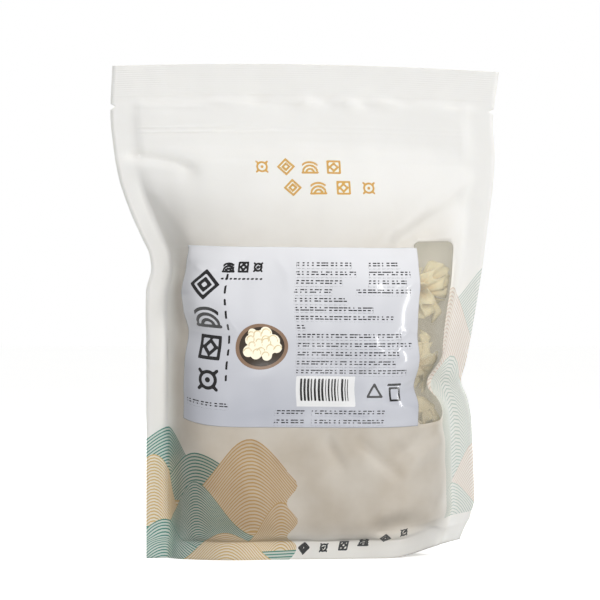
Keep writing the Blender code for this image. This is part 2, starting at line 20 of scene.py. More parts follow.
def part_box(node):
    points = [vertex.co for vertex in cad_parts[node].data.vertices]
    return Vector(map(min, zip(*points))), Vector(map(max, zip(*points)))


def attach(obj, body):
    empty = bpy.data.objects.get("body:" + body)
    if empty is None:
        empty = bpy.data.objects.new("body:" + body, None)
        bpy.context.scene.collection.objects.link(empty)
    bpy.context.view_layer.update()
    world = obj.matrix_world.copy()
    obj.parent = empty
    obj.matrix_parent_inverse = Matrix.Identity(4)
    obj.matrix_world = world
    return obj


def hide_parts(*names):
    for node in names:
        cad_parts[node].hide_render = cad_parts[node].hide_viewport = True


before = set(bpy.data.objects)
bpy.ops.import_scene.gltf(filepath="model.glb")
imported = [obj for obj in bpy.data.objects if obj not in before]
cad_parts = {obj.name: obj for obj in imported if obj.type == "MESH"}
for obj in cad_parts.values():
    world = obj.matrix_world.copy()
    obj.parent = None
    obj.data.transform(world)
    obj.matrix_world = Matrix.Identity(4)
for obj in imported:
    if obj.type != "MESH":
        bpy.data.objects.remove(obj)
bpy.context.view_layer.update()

bl_info = {
    "name": "Dried Fungus Pouch",
    "version": (1, 0, 0),
    "blender": (4, 5, 0),
    "location": "View3D > Sidebar > Pouch",
    "description": "Models and dresses a sealed stand-up pouch of dried white fungus",
    "category": "Object",
}

MM = 0.001


def linear(code):
    """A colour given as an sRGB hex code, in the linear values that shaders take."""
    channels = [int(code[place:place + 2], 16) / 255 for place in (1, 3, 5)]
    return tuple(c / 12.92 if c <= 0.04045 else ((c + 0.055) / 1.055) ** 2.4 for c in channels)


# Flat sizes of the pouch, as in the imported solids
PANEL_WIDTH = 0.200
PANEL_LENGTH = 0.260
HALF_WIDTH = PANEL_WIDTH / 2
SIDE_SEAL = 0.011
FOOT_SEAL = 0.009
TOP_SEAL = 0.016
GUSSET_DEPTH = 0.042
GUSSET_HALF_WIDTH = 0.082
GUSSET_INSET = 0.00022
GUSSET_RIM = 0.0006
GUSSET_SAG = 0.0022
GUSSET_CLEARANCE = 0.001
NOTCH_LEVEL = 0.2390
NOTCH_REACH = 0.0025
NOTCH_HALF_HEIGHT = 0.0016
NOTCH_ZONE = 0.008
ZIPPER_LEVEL = 0.2265
ZIPPER_HALF_BAND = 0.0030
WINDOW_ACROSS = (0.0570, 0.0815)
WINDOW_UP = (0.0725, 0.1660)
WINDOW_CORNER = 0.004
PANE_INSET = 0.00012
LABEL_ACROSS = (-0.0680, 0.0580)
LABEL_UP = (0.0728, 0.1628)
LABEL_TURN = math.radians(-0.6)
BOX_MIDDLE = (-0.0008, -0.00261)

# Half-widths of the standing pouch, as (level t, distance from the middle)
LEFT_EDGE = (
    (0.000, 0.0818), (0.110, 0.0822), (0.125, 0.0826), (0.137, 0.0824), (0.150, 0.0798),
    (0.158, 0.0808), (0.166, 0.0842), (0.183, 0.0910), (0.201, 0.0965), (0.216, 0.0990),
    (0.236, 0.1008), (0.260, 0.0998),
)
RIGHT_EDGE = (
    (0.000, 0.0792), (0.012, 0.0845), (0.024, 0.0868), (0.040, 0.0864), (0.070, 0.0852),
    (0.082, 0.0832), (0.092, 0.0798), (0.102, 0.0822), (0.132, 0.0875), (0.156, 0.0912),
    (0.180, 0.0940), (0.200, 0.0963), (0.216, 0.0970), (0.232, 0.0960), (0.260, 0.0992),
)

# How far each panel bulges from the middle surface, as (level t, distance)
FRONT_DEPTH = (
    (0.000, 0.0310), (0.009, 0.0305), (0.012, 0.0325), (0.016, 0.0345), (0.025, 0.0366),
    (0.040, 0.0374), (0.055, 0.0370), (0.070, 0.0364), (0.095, 0.0362), (0.115, 0.0366),
    (0.133, 0.0342), (0.145, 0.0324), (0.155, 0.0316), (0.163, 0.0303), (0.170, 0.0282),
    (0.190, 0.0200), (0.200, 0.0140), (0.210, 0.0070), (0.2190, 0.0000), (0.260, 0.0000),
)
BACK_DEPTH = (
    (0.000, 0.0325), (0.009, 0.0315), (0.012, 0.0335), (0.025, 0.0365), (0.070, 0.0380),
    (0.100, 0.0375), (0.130, 0.0352), (0.150, 0.0318), (0.170, 0.0262), (0.190, 0.0175),
    (0.200, 0.0122), (0.210, 0.0060), (0.2190, 0.0000), (0.260, 0.0000),
)
ZIPPER_STAND = (
    (0.208, 0.0000), (0.2180, 0.00145), (0.2350, 0.00145), (0.240, 0.0017), (0.244, 0.0000),
    (0.260, 0.0000),
)
ZIPPER_RAMP = 0.0045

# Height of the film's middle, and how much higher it is at the side seals
RISE = (
    (0.000, 0.0000), (0.009, 0.0090), (0.012, 0.0104), (0.016, 0.0131), (0.025, 0.0211),
    (0.040, 0.0355), (0.060, 0.0550), (0.073, 0.0677), (0.090, 0.0849), (0.120, 0.1155),
    (0.150, 0.1461), (0.163, 0.1592), (0.175, 0.1706), (0.200, 0.1944), (0.215, 0.2087),
    (0.230, 0.2233), (0.260, 0.2535),
)
LEFT_SEAL_LEAD = (
    (0.000, 0.0), (0.009, 0.0), (0.016, 0.0035), (0.025, 0.0055), (0.060, 0.0085),
    (0.075, 0.0092), (0.120, 0.0055), (0.163, 0.0010), (0.200, 0.0),
)
RIGHT_SEAL_LEAD = (
    (0.000, 0.0), (0.009, 0.0), (0.016, 0.0025), (0.060, 0.0040), (0.078, 0.0040),
    (0.105, 0.0020), (0.163, 0.0),
)

# Where the bulge peaks, and how steeply it falls to each side: higher is steeper
FRONT_PEAK = -0.015
BACK_PEAK = -0.005
FRONT_LEFT_POWER = (
    (0.000, 3.6), (0.030, 4.2), (0.075, 5.0), (0.100, 4.8), (0.118, 3.2), (0.130, 5.0),
    (0.145, 7.5), (0.155, 6.0), (0.163, 3.6), (0.180, 2.8), (0.260, 2.6),
)
FRONT_RIGHT_POWER = (
    (0.000, 5.0), (0.030, 5.0), (0.075, 6.4), (0.092, 9.5), (0.105, 8.0), (0.120, 5.0),
    (0.140, 5.2), (0.153, 3.6), (0.165, 2.4), (0.180, 2.2), (0.260, 2.2),
)
BACK_POWER = ((0.000, 2.7), (0.260, 2.7))
PINCH = ((0.000, 0.0), (0.074, 0.0), (0.092, 0.0058), (0.110, 0.0), (0.260, 0.0))

# Twist of the foot, bow of the mouth, droop of the mouth's corners, lifted right foot
TWIST_SLOPE = 0.150
TWIST_BOW = 1.50
TWIST_LEFT = 0.25
TWIST_TOP = 0.180
MOUTH_BOW = 0.006
MOUTH_CENTRE = -0.030
DROOP = 0.0045
DROOP_START = 0.150
LIFT = 0.0112
LIFT_START = 0.040
LIFT_TOP = 0.060

# Broad folds of the front, as in the solids: (x, t) at each end, half-width and depth
FRONT_FOLDS = (
    ((0.090, 0.208), (0.047, 0.164), 0.0060, 0.0030),
    ((-0.090, 0.205), (-0.060, 0.203), 0.0050, 0.0020),
    ((0.072, 0.071), (0.049, 0.060), 0.0060, 0.0030),
    ((0.040, 0.020), (0.066, 0.024), 0.0055, 0.0025),
)
FOLD_FADE = 0.010

FRONT = -1
BACK = 1
ROW_SAMPLES = 401
TABLE_ROWS = 521
PLACE_TABLES = {}
PROBE = 0.0005
SLOPE_STEP = 1e-5
SNAP_REACH = 0.0025

# Fine folds in millimetres of the flat film: path, height outwards, width on the left and on
# the right of the path, sharpness of the crest, and the length over which each end fades
FRONT_CREASES = (
    (((-97, 214), (-81, 212), (-68, 209.5), (-57, 204)), -2.6, 2.4, 3.6, 1.5, 8),
    (((-95, 208), (-78, 206.5), (-60, 201)), 0.8, 3.4, 9.0, 1.6, 9),
    (((-85, 198), (-77, 183), (-68, 167), (-62, 152)), 0.9, 9.0, 3.0, 1.6, 9),
    (((92, 205), (83, 196), (73, 187), (50, 173), (36, 168)), 1.9, 3.2, 9.0, 1.4, 10),
    (((90, 192), (76, 179), (60, 167)), -1.3, 5.0, 6.0, 2.0, 9),
    (((-93, 237.6), (-78, 237.6), (-62, 236.3), (-48, 236)), -0.55, 1.5, 1.6, 1.5, 8),
    (((-60, 239.5), (-48, 241), (-36, 240.6)), 0.55, 2.0, 2.2, 2.0, 5),
    (((-36, 236), (-20, 238.6), (-8, 237)), -0.35, 2.0, 2.4, 2.0, 6),
    (((98, 89), (87, 91), (77, 86), (70, 80)), -1.1, 3.0, 3.0, 1.4, 5),
    (((98, 97), (86, 103), (74, 112)), 0.7, 4.0, 2.0, 1.5, 8),
    (((20, 69), (34, 57), (52, 42)), -1.9, 5.0, 3.2, 1.8, 11),
    (((9, 71), (12, 60), (19, 47)), -1.3, 2.6, 3.6, 1.8, 9),
    (((3, 69), (4, 55), (2, 42)), 0.35, 5.0, 5.0, 2.0, 9),
    (((82, 63), (68, 59), (54, 52)), 1.6, 2.6, 6.0, 1.4, 8),
    (((64.5, 50), (64, 40)), 0.35, 1.4, 1.6, 1.5, 3),
    (((30, 15.5), (50, 18.5), (68, 13), (82, 8)), -1.3, 4.5, 3.5, 1.8, 9),
    (((28, 25), (50, 27), (74, 20)), 0.9, 8.0, 4.0, 1.8, 10),
    (((46, 70), (52, 62), (60, 47)), 0.5, 2.5, 4.5, 1.5, 7),
    (((-34, 68), (-28, 60), (-26, 48)), -0.6, 3.5, 4.5, 1.8, 8),
    (((-60, 66), (-48, 58), (-40, 44)), 0.5, 3.0, 6.0, 1.7, 9),
    (((-14, 44), (4, 36), (26, 34)), 0.6, 9.0, 5.0, 1.9, 12),
    (((84, 48), (76, 40), (72, 26)), 0.6, 3.0, 4.0, 1.5, 8),
    (((70, 14), (86, 8), (98, 9)), 0.6, 2.5, 2.5, 1.5, 6),
    (((-98, 90), (-88, 102), (-78, 122)), 0.5, 4.0, 2.5, 1.4, 9),
    (((-90, 150), (-82, 132), (-76, 112)), -0.6, 4.0, 5.0, 1.7, 10),
    (((-92, 48), (-80, 40), (-66, 38)), -0.5, 4.0, 4.0, 1.6, 8),
    (((-88, 24), (-74, 20), (-60, 13)), 0.5, 3.0, 3.0, 1.5, 8),
    (((-88.6, 12), (-88.6, 70), (-88.6, 128)), -0.9, 2.8, 0.9, 1.3, 10),
    (((-88.6, 168), (-88.6, 190), (-88.6, 204)), -0.6, 2.2, 0.9, 1.3, 8),
    (((88.6, 158), (88.6, 182), (88.6, 206)), -0.6, 0.9, 2.2, 1.3, 8),
    (((88.6, 14), (88.6, 44), (88.6, 74)), -0.6, 0.9, 2.2, 1.3, 8),
)
BACK_CREASES = (
    (((-92, 208), (-74, 204), (-52, 196)), -1.0, 3.0, 4.5, 1.6, 10),
    (((88, 206), (72, 196), (50, 190)), 0.9, 4.0, 9.0, 1.4, 10),
    (((-80, 186), (-58, 172), (-34, 166)), 0.8, 8.0, 4.0, 1.4, 11),
    (((84, 176), (66, 164), (58, 148)), -0.9, 6.0, 6.0, 1.8, 10),
    (((97, 90), (82, 92), (70, 84)), -1.1, 4.0, 4.0, 1.4, 7),
    (((-97, 152), (-84, 146), (-74, 136)), -0.9, 4.0, 4.0, 1.5, 7),
    (((-40, 160), (-30, 120), (-34, 84)), 0.5, 9.0, 9.0, 2.0, 18),
    (((30, 150), (38, 110), (28, 70)), -0.6, 10.0, 8.0, 2.0, 18),
    (((-70, 60), (-52, 48), (-30, 44)), -0.7, 6.0, 6.0, 1.8, 11),
    (((62, 58), (44, 46), (24, 44)), 0.6, 5.0, 7.0, 1.6, 11),
    (((-60, 237), (-36, 239), (-10, 237.5)), 0.5, 2.0, 2.2, 2.0, 8),
    (((30, 237), (52, 239.5), (78, 238)), -0.45, 1.8, 2.2, 1.8, 8),
)

# Air held in the band between the zipper and the top seal: (s, t, reach s, reach t, height)
PUFFS = (
    (-74, 241.5, 15, 2.4, -1.6), (-50, 240.5, 8, 2.6, -1.2), (-24, 241.5, 8, 2.4, -2.2),
    (-10, 239.5, 6, 3.0, -1.8), (2, 241.0, 4, 2.6, 1.0), (13, 240.4, 5, 3.0, -1.8),
    (24, 241.0, 4, 2.4, 0.7), (32, 240.0, 4, 2.8, -1.6), (42, 241.4, 4.5, 2.4, 0.8),
    (54, 241.0, 6, 2.4, -1.3), (68, 240.2, 8, 2.8, -0.5), (79, 241.2, 6, 2.4, -1.6),
    (88, 238.5, 5, 2.4, 0.6),
)
LUMP_COUNT = 30
LUMP_ZONE = ((-62.0, 66.0), (20.0, 158.0))
LUMP_REACH = (8.0, 16.0)
LUMP_HEIGHTS = {FRONT: (-0.20, 0.40), BACK: (-0.35, 0.70)}
LUMP_SEEDS = {FRONT: 3, BACK: 5}
BACK_PUFF_SHARE = -0.7
RIPPLES = 14
RIPPLE_LENGTHS = (14.0, 46.0)
RIPPLE_HEIGHT = 0.055
RIPPLE_SEEDS = {FRONT: 11, BACK: 13}
# What is left of the ripples in the seals, and what the zipper takes off them in its band
SEAL_RIPPLES = 0.35
ZIPPER_CALM = 0.7
ZIPPER_BAND = (216, 221, 232, 237)
SKIRT_WAVE = 0.9
SKIRT_WAVE_LENGTH = 44.0
SKIRT_PHASES = {FRONT: 0.6, BACK: 2.0}
SKIRT_FADE = (4.0, 16.0)
SEAL_EASE = 3.0
ZIPPER_RIDGE_APART = 1.25
ZIPPER_RIDGE_WIDTH = 0.5
ZIPPER_ENDS = (82.0, 86.0)
ZIPPER_FADE = ((-100, 1.1), (-40, 1.0), (0, 0.35), (60, 0.18), (100, 0.4))

# The line print, hill by hill from the back to the front: ink, then in millimetres the peak's
# place, the foot of the crest, its rise and spread, the tilt, and the spacing of its lines
FRONT_HILLS = (
    ("teal", -84, 40, 24, 26, -0.05, 1.60),
    ("teal", -58, 36, 22, 24, 0.03, 1.70),
    ("gold", -31, 30, 37, 24, 0.02, 1.85),
    ("gold", -96, 18, 32, 17, 0.00, 1.50),
    ("teal", -60, 14, 29, 18, -0.04, 1.45),
    ("gold", -16, 4, 30, 15, 0.00, 1.75),
    ("teal", -90, 2, 17, 20, 0.03, 1.35),
    ("gold", -46, -3, 20, 19, 0.00, 1.40),
)
BACK_HILLS = (
    ("gold", 72, 36, 30, 26, 0.03, 1.70),
    ("teal", 26, 34, 30, 22, 0.00, 1.85),
    ("gold", -20, 26, 26, 20, 0.00, 1.60),
    ("teal", 88, 12, 30, 18, 0.00, 1.45),
    ("gold", 50, 12, 26, 20, 0.04, 1.50),
    ("teal", 4, 6, 26, 18, 0.00, 1.70),
    ("gold", 74, -4, 20, 19, 0.00, 1.40),
)
SEAM_HILLS = (
    ("sage", 104, 128, 26, 13, 0.0, 2.1),
    ("blush", 84, 100, 42, 16, 0.0, 2.1),
    ("sage", 92, 62, 44, 12, 0.0, 2.0),
    ("blush", 102, 22, 38, 14, 0.0, 2.1),
    ("sage", 88, 12, 24, 12, 0.0, 2.0),
)
LINE_SHARE = {"gold": 0.42, "teal": 0.40, "sage": 0.34, "blush": 0.34}
# Where the hills end, as (place, sway, sway length), and the print by the right seam as its
# middle and half its size
FRONT_PRINT_END = (-10.0, 3.0, 19.0)
BACK_PRINT_START = (-42.0, 6.0, 11.0)
SEAM_PRINT = (90.75 + 85.5j, 9.25 + 70.5j)
SEAM_INKS = {"sage": linear("#c0cfca"), "blush": linear("#e3d2c7")}


def size_choice(name, description, default, low, high):
    """A size in millimetres that a user may change."""
    return FloatProperty(
        name=name, description=description, default=default * MM, min=low * MM,
        max=high * MM, unit="LENGTH", precision=5,
    )


def factor_choice(name, description, default, low, high):
    """A factor that a user may change."""
    return FloatProperty(
        name=name, description=description, default=default, min=low, max=high,
        subtype="FACTOR",
    )


def colour_choice(name, description, code):
    """A colour that a user may change, given as an sRGB hex code."""
    return FloatVectorProperty(
        name=name, description=description, default=linear(code), size=3, min=0.0, max=1.0,
        subtype="COLOR",
    )


class PouchFilmSettings(bpy.types.PropertyGroup):
    """Thickness, seal ribs and colours of the printed film."""

    thickness: size_choice("Film thickness", "Thickness of the laminated film", 0.15, 0.05, 0.4)
    rib_pitch: size_choice("Rib pitch", "Distance between the top seal's ribs", 1.1, 0.8, 3.0)
    rib_height: size_choice("Rib height", "Height of the top seal's ribs", 0.07, 0.0, 0.3)
    zipper_ridge: size_choice("Zipper ridge", "How far the zipper shows through", 0.38, 0.0, 1.0)
    roughness: factor_choice("Roughness", "Roughness of the satin outer film", 0.36, 0.05, 1.0)
    white: colour_choice("Film white", "Colour of the white film", "#f8f4ea")
    # The contents tint also paints shade on the foot seal
    contents_and_shade_tint: colour_choice("Contents tint", "Film colour over the ears", "#b3a797")
    gold: colour_choice("Gold ink", "Ink of the gold lines", "#dcb878")
    teal: colour_choice("Teal ink", "Ink of the teal lines", "#3f8b80")


class PouchLabelSettings(bpy.types.PropertyGroup):
    """Thickness and colours of the pasted label."""

    thickness: size_choice("Label thickness", "Thickness of the label film", 0.1, 0.05, 0.3)
    lift: size_choice("Label lift", "Height of the label's face above the film", 0.24, 0.2, 1.0)
    white: colour_choice("Label white", "Cool white of the glossy label", "#d2d2d4")
    ink: colour_choice("Label ink", "Black ink of the label's print", "#0e0e10")
    roughness: factor_choice("Roughness", "Roughness of the glossy label", 0.16, 0.02, 1.0)


class PouchContentsSettings(bpy.types.PropertyGroup):
    """Make and colour of the dried ears."""

    petals: IntProperty(
        name="Lobes", description="Number of ruffled lobes in one dried ear",
        default=9, min=3, max=16,
    )
    ruffle: factor_choice("Ruffle", "Strength of the ruffles along a lobe's rim", 0.16, 0.0, 0.5)
    flesh: size_choice("Flesh thickness", "Thickness of a dried lobe", 0.7, 0.3, 2.0)
    cream: colour_choice("Fungus cream", "Colour of the dried lobes", "#e4d7b2")
    base: colour_choice("Fungus base", "Colour where the lobes grow together", "#c79f56")


class PouchStageSettings(bpy.types.PropertyGroup):
    """Camera, floor and lights."""

    elevation: FloatProperty(
        name="Camera elevation", description="Angle of the camera above the horizon",
        default=math.radians(1.0), min=0.0, max=math.radians(60.0), subtype="ANGLE",
    )
    distance: size_choice("Camera distance", "From the camera to the pouch", 2500, 300, 5000)
    lens: FloatProperty(
        name="Lens", description="Focal length for a 36 mm sensor, in millimetres",
        default=291.3, min=20.0, max=400.0,
    )
    floor: colour_choice("Floor", "Colour of the plain pale floor", "#f4f4f3")


def smooth_through(stations, at):
    """A smooth curve through (place, value) stations that never swings past them."""
    places, values = np.array(stations).T
    at = np.clip(at, places[0], places[-1])
    steps = np.diff(places)
    slopes = np.diff(values) / steps
    same_way = slopes[:-1] * slopes[1:] > 0
    total = np.where(same_way, slopes[:-1] + slopes[1:], 1.0)
    inner = np.where(same_way, 2 * slopes[:-1] * slopes[1:] / total, 0.0)
    tangents = np.concatenate([slopes[:1], inner, slopes[-1:]])
    low = np.clip(np.searchsorted(places, at, side="right") - 1, 0, len(steps) - 1)
    span = steps[low]
    share = (at - places[low]) / span
    rest = 1 - share
    start = values[low] * (1 + 2 * share) + span * tangents[low] * share
    end = values[low + 1] * (3 - 2 * share) - span * tangents[low + 1] * rest
    return start * rest**2 + end * share**2


def smooth_step(low, high, at):
    """0 below low, 1 above high, and an even ease between them."""
    share = np.clip((at - low) / (high - low), 0.0, 1.0)
    return share * share * (3 - 2 * share)


def middle_surface(x, t):
    """y of the pouch's middle surface: twisted at the foot, bowed back at the mouth."""
    fade = TWIST_LEFT + (1 - TWIST_LEFT) * (1 - smooth_step(0.0, TWIST_TOP, t))
    twist = TWIST_SLOPE * x - TWIST_BOW * x**2
    bow = 1 - ((x - MOUTH_CENTRE) / (HALF_WIDTH - MOUTH_CENTRE)) ** 2
    return fade * twist + MOUTH_BOW * smooth_step(TWIST_TOP, PANEL_LENGTH, t) * bow


def belly_share(x, t, side):
    """How full the bulge is at x: 1 at its peak, 0 along the side seals."""
    left = SIDE_SEAL - smooth_through(LEFT_EDGE, t)
    right = smooth_through(RIGHT_EDGE, t) - SIDE_SEAL
    if side == FRONT:
        peak = FRONT_PEAK
        left_power = smooth_through(FRONT_LEFT_POWER, t)
        right_power = smooth_through(FRONT_RIGHT_POWER, t)
        right = right - smooth_through(PINCH, t)
    else:
        peak = BACK_PEAK
        left_power = right_power = smooth_through(BACK_POWER, t)
    to_left = np.clip((peak - x) / (peak - left), 0.0, 1.0)
    to_right = np.clip((x - peak) / (right - peak), 0.0, 1.0)
    return 1 - to_left**left_power - to_right**right_power


def zipper_share(x, t):
    """1 where the zipper holds the panels apart, easing to 0 at the side seals."""
    left = SIDE_SEAL - smooth_through(LEFT_EDGE, t)
    right = smooth_through(RIGHT_EDGE, t) - SIDE_SEAL
    rise = smooth_step(left, left + ZIPPER_RAMP, x)
    return rise * (1 - smooth_step(right - ZIPPER_RAMP, right, x))


def fold_depth(x, t):
    """How far the broad folds press the front in."""
    total = np.zeros_like(x)
    for (x0, t0), (x1, t1), half_width, depth in FRONT_FOLDS:
        along = np.array([x1 - x0, t1 - t0])
        share = ((x - x0) * along[0] + (t - t0) * along[1]) / along.dot(along)
        share = np.clip(share, 0.0, 1.0)
        away = np.hypot(x - x0 - share * along[0], t - t0 - share * along[1])
        total = total + depth * np.exp(-((away / half_width) ** 2))
    return total


def stand_off(x, t, side):
    """Distance from the middle surface to a panel's outer face."""
    belly = smooth_through(FRONT_DEPTH if side == FRONT else BACK_DEPTH, t)
    off = belly * belly_share(x, t, side)
    if side == FRONT:
        off = off - fold_depth(x, t) * np.clip(off / FOLD_FADE, 0.0, 1.0)
    film = bpy.context.scene.pouch_film.thickness
    return 1.15 * film + off + smooth_through(ZIPPER_STAND, t) * zipper_share(x, t)


def film_row(t, side):
    """One level of a film: places across it, laid flat, and the x that each comes to."""
    left = -smooth_through(LEFT_EDGE, t)
    right = smooth_through(RIGHT_EDGE, t)
    x = np.linspace(left, right, ROW_SAMPLES)
    y = middle_surface(x, t) + side * stand_off(x, t, side)
    run = np.concatenate([[0.0], np.cumsum(np.hypot(np.diff(x), np.diff(y)))])
    return run / run[-1] * PANEL_WIDTH - HALF_WIDTH, x


def height(x, t):
    """z of a film point: its rise, the mouth's drooping corners and the lifted foot."""
    on_left = x < FRONT_PEAK
    lead = np.where(on_left, smooth_through(LEFT_SEAL_LEAD, t), smooth_through(RIGHT_SEAL_LEAD, t))
    rise = smooth_through(RISE, t) + lead * (1 - belly_share(x, t, FRONT))
    reach = (x - MOUTH_CENTRE) / (HALF_WIDTH - MOUTH_CENTRE)
    droop = DROOP * smooth_step(DROOP_START, PANEL_LENGTH, t) * reach**2
    lift = LIFT * smooth_step(LIFT_START, HALF_WIDTH, x) * (1 - smooth_step(0.0, LIFT_TOP, t))
    return rise - droop + lift


def place_table(side):
    """x of a film for evenly spaced places across it, one row for each level."""
    if side not in PLACE_TABLES:
        across = np.linspace(-HALF_WIDTH, HALF_WIDTH, ROW_SAMPLES)
        levels = np.linspace(0.0, PANEL_LENGTH, TABLE_ROWS)
        rows = [np.interp(across, *film_row(level, side)) for level in levels]
        PLACE_TABLES[side] = np.array(rows)
    return PLACE_TABLES[side]


def outer_face(s, t, side):
    """Points on a film's outer face, before its fine folds, for places (s, t)."""
    table = place_table(side)
    column = (s + HALF_WIDTH) / PANEL_WIDTH * (ROW_SAMPLES - 1)
    row = t / PANEL_LENGTH * (TABLE_ROWS - 1)
    left = np.clip(column.astype(int), 0, ROW_SAMPLES - 2)
    low = np.clip(row.astype(int), 0, TABLE_ROWS - 2)
    across = np.clip(column - left, 0.0, 1.0)
    up = np.clip(row - low, 0.0, 1.0)
    under = table[low, left] * (1 - across) + table[low, left + 1] * across
    over = table[low + 1, left] * (1 - across) + table[low + 1, left + 1] * across
    x = under * (1 - up) + over * up
    y = middle_surface(x, t) + side * stand_off(x, t, side)
    return np.stack([x - BOX_MIDDLE[0], y - BOX_MIDDLE[1], height(x, t)], axis=1)


def outward(s, t, side):
    """Unit normals that point out of the pouch; level along the foot, so it stands flat."""
    east = outer_face(np.clip(s + PROBE, -HALF_WIDTH, HALF_WIDTH), t, side)
    west = outer_face(np.clip(s - PROBE, -HALF_WIDTH, HALF_WIDTH), t, side)
    above = outer_face(s, np.clip(t + PROBE, 0.0, PANEL_LENGTH), side)
    below = outer_face(s, np.clip(t - PROBE, 0.0, PANEL_LENGTH), side)
    normal = -side * np.cross(east - west, above - below)
    normal[t <= 0.0, 2] = 0.0
    return normal / np.linalg.norm(normal, axis=1, keepdims=True)


def crease(s, t, path, height_out, left, right, sharpness, fade):
    """Height of one fold pressed along a path, all in millimetres."""
    nearest = np.full_like(s, np.inf)
    turn = np.zeros_like(s)
    place = np.zeros_like(s)
    run = 0.0
    for (s0, t0), (s1, t1) in zip(path[:-1], path[1:]):
        length = math.hypot(s1 - s0, t1 - t0)
        along = ((s1 - s0) / length, (t1 - t0) / length)
        here = np.clip((s - s0) * along[0] + (t - t0) * along[1], 0.0, length)
        away_s = s - s0 - here * along[0]
        away_t = t - t0 - here * along[1]
        away = np.hypot(away_s, away_t)
        closer = away < nearest
        nearest = np.where(closer, away, nearest)
        turn = np.where(closer, along[0] * away_t - along[1] * away_s, turn)
        place = np.where(closer, run + here, place)
        run += length
    width = np.where(turn > 0, left, right)
    ends = smooth_step(0.0, fade, place) * (1 - smooth_step(run - fade, run, place))
    return height_out * np.exp(-((nearest / width) ** sharpness)) * ends


def creases(s, t, rows):
    """Height of all the folds in a table, in millimetres."""
    return sum((crease(s, t, *row) for row in rows), np.zeros_like(s))


def lumps(s, t, side):
    """Soft bumps where the dried ears press on the film, in millimetres."""
    draw = random.Random(LUMP_SEEDS[side])
    total = np.zeros_like(s)
    for _ in range(LUMP_COUNT):
        ranges = (*LUMP_ZONE, LUMP_REACH, LUMP_HEIGHTS[side])
        centre_s, centre_t, reach, bump = (draw.uniform(*pair) for pair in ranges)
        total = total + bump * np.exp(-((s - centre_s) ** 2 + (t - centre_t) ** 2) / reach**2)
    return total


def ripples(s, t, side):
    """Faint waves that keep a film from looking perfectly smooth, in millimetres."""
    draw = random.Random(RIPPLE_SEEDS[side])
    total = np.zeros_like(s)
    for _ in range(RIPPLES):
        length = draw.uniform(*RIPPLE_LENGTHS)
        turn = draw.uniform(0.0, math.tau)
        phase = draw.uniform(0.0, math.tau)
        along = s * math.cos(turn) + t * math.sin(turn)
        total = total + RIPPLE_HEIGHT * np.sin(math.tau * along / length + phase)
    return total


def zipper_ridges(s, t):
    """The closed zipper's two ridges, as they show through the film, from 0 to 1."""
    level = t - ZIPPER_LEVEL / MM
    ridges = sum(
        np.exp(-(((level + apart) / ZIPPER_RIDGE_WIDTH) ** 2))
        for apart in (-ZIPPER_RIDGE_APART, ZIPPER_RIDGE_APART)
    )
    return ridges * (1 - smooth_step(*ZIPPER_ENDS, np.abs(s)))


def own_relief(s, t, side):
    """Fine shape of a film by itself, all in millimetres."""
    settings = bpy.context.scene.pouch_film
    front = side == FRONT
    seal = (HALF_WIDTH - SIDE_SEAL) / MM
    top = (PANEL_LENGTH - TOP_SEAL) / MM
    inside = 1 - smooth_step(seal - SEAL_EASE, seal + SEAL_EASE, np.abs(s))
    total = creases(s, t, FRONT_CREASES if front else BACK_CREASES) + lumps(s, t, side)
    calm = SEAL_RIPPLES + (1 - SEAL_RIPPLES) * inside
    low, low_end, high, high_end = ZIPPER_BAND
    band = smooth_step(low, low_end, t) * (1 - smooth_step(high, high_end, t))
    total = total + ripples(s, t, side) * calm * (1 - ZIPPER_CALM * band)
    for centre_s, centre_t, reach_s, reach_t, puff in PUFFS:
        away = ((s - centre_s) / reach_s) ** 2 + ((t - centre_t) / reach_t) ** 2
        total = total + puff * np.exp(-away) * (1.0 if front else BACK_PUFF_SHARE)
    ridge = settings.zipper_ridge / MM * zipper_ridges(s, t)
    total = total + ridge * smooth_through(ZIPPER_FADE, s)
    foot = 1 - smooth_step(*SKIRT_FADE, t)
    wave = np.sin(math.tau * s / SKIRT_WAVE_LENGTH + SKIRT_PHASES[side])
    total = total + SKIRT_WAVE * foot * wave * inside
    ribs = 0.5 - 0.5 * np.cos(math.tau * (t - top) / (settings.rib_pitch / MM))
    return total + settings.rib_height / MM * ribs * smooth_step(top, top + 0.4, t)


def relief(s, t, side):
    """Fine shape of a film, outwards from its face, for places in metres. Where the films
    are sealed together, the back one follows the front one."""
    s, t = s / MM, t / MM
    total = own_relief(s, t, side)
    if side == BACK:
        seal = (HALF_WIDTH - SIDE_SEAL) / MM
        top = (PANEL_LENGTH - TOP_SEAL) / MM
        beside = smooth_step(seal - SEAL_EASE, seal, np.abs(s))
        joined = np.maximum(beside, smooth_step(top - SEAL_EASE, top, t))
        total = total * (1 - joined) - own_relief(s, t, FRONT) * joined
    return total * MM


def formed(s, t, side=FRONT, out=0.0):
    """Points of a formed film, a distance out from its face."""
    return outer_face(s, t, side) + outward(s, t, side) * (relief(s, t, side) + out)[:, None]


def grid_lines(marks, facets):
    """Places on every mark, and between two marks no further apart than their facet."""
    places = [marks[0]]
    for low, high, facet in zip(marks[:-1], marks[1:], facets):
        count = max(1, math.ceil((high - low) / facet - 1e-6))
        places.extend(np.linspace(low, high, count + 1)[1:])
    return places


def flat_grid(across, up):
    """A flat sheet whose grid lines lie at the given places."""
    sheet = bmesh.new()
    columns = len(across) - 1
    rows = len(up) - 1
    bmesh.ops.create_grid(sheet, x_segments=columns, y_segments=rows, size=1.0)
    for vertex in sheet.verts:
        column = round((vertex.co.x + 1) / 2 * columns)
        row = round((vertex.co.y + 1) / 2 * rows)
        vertex.co = (across[column], up[row], 0.0)
    return sheet


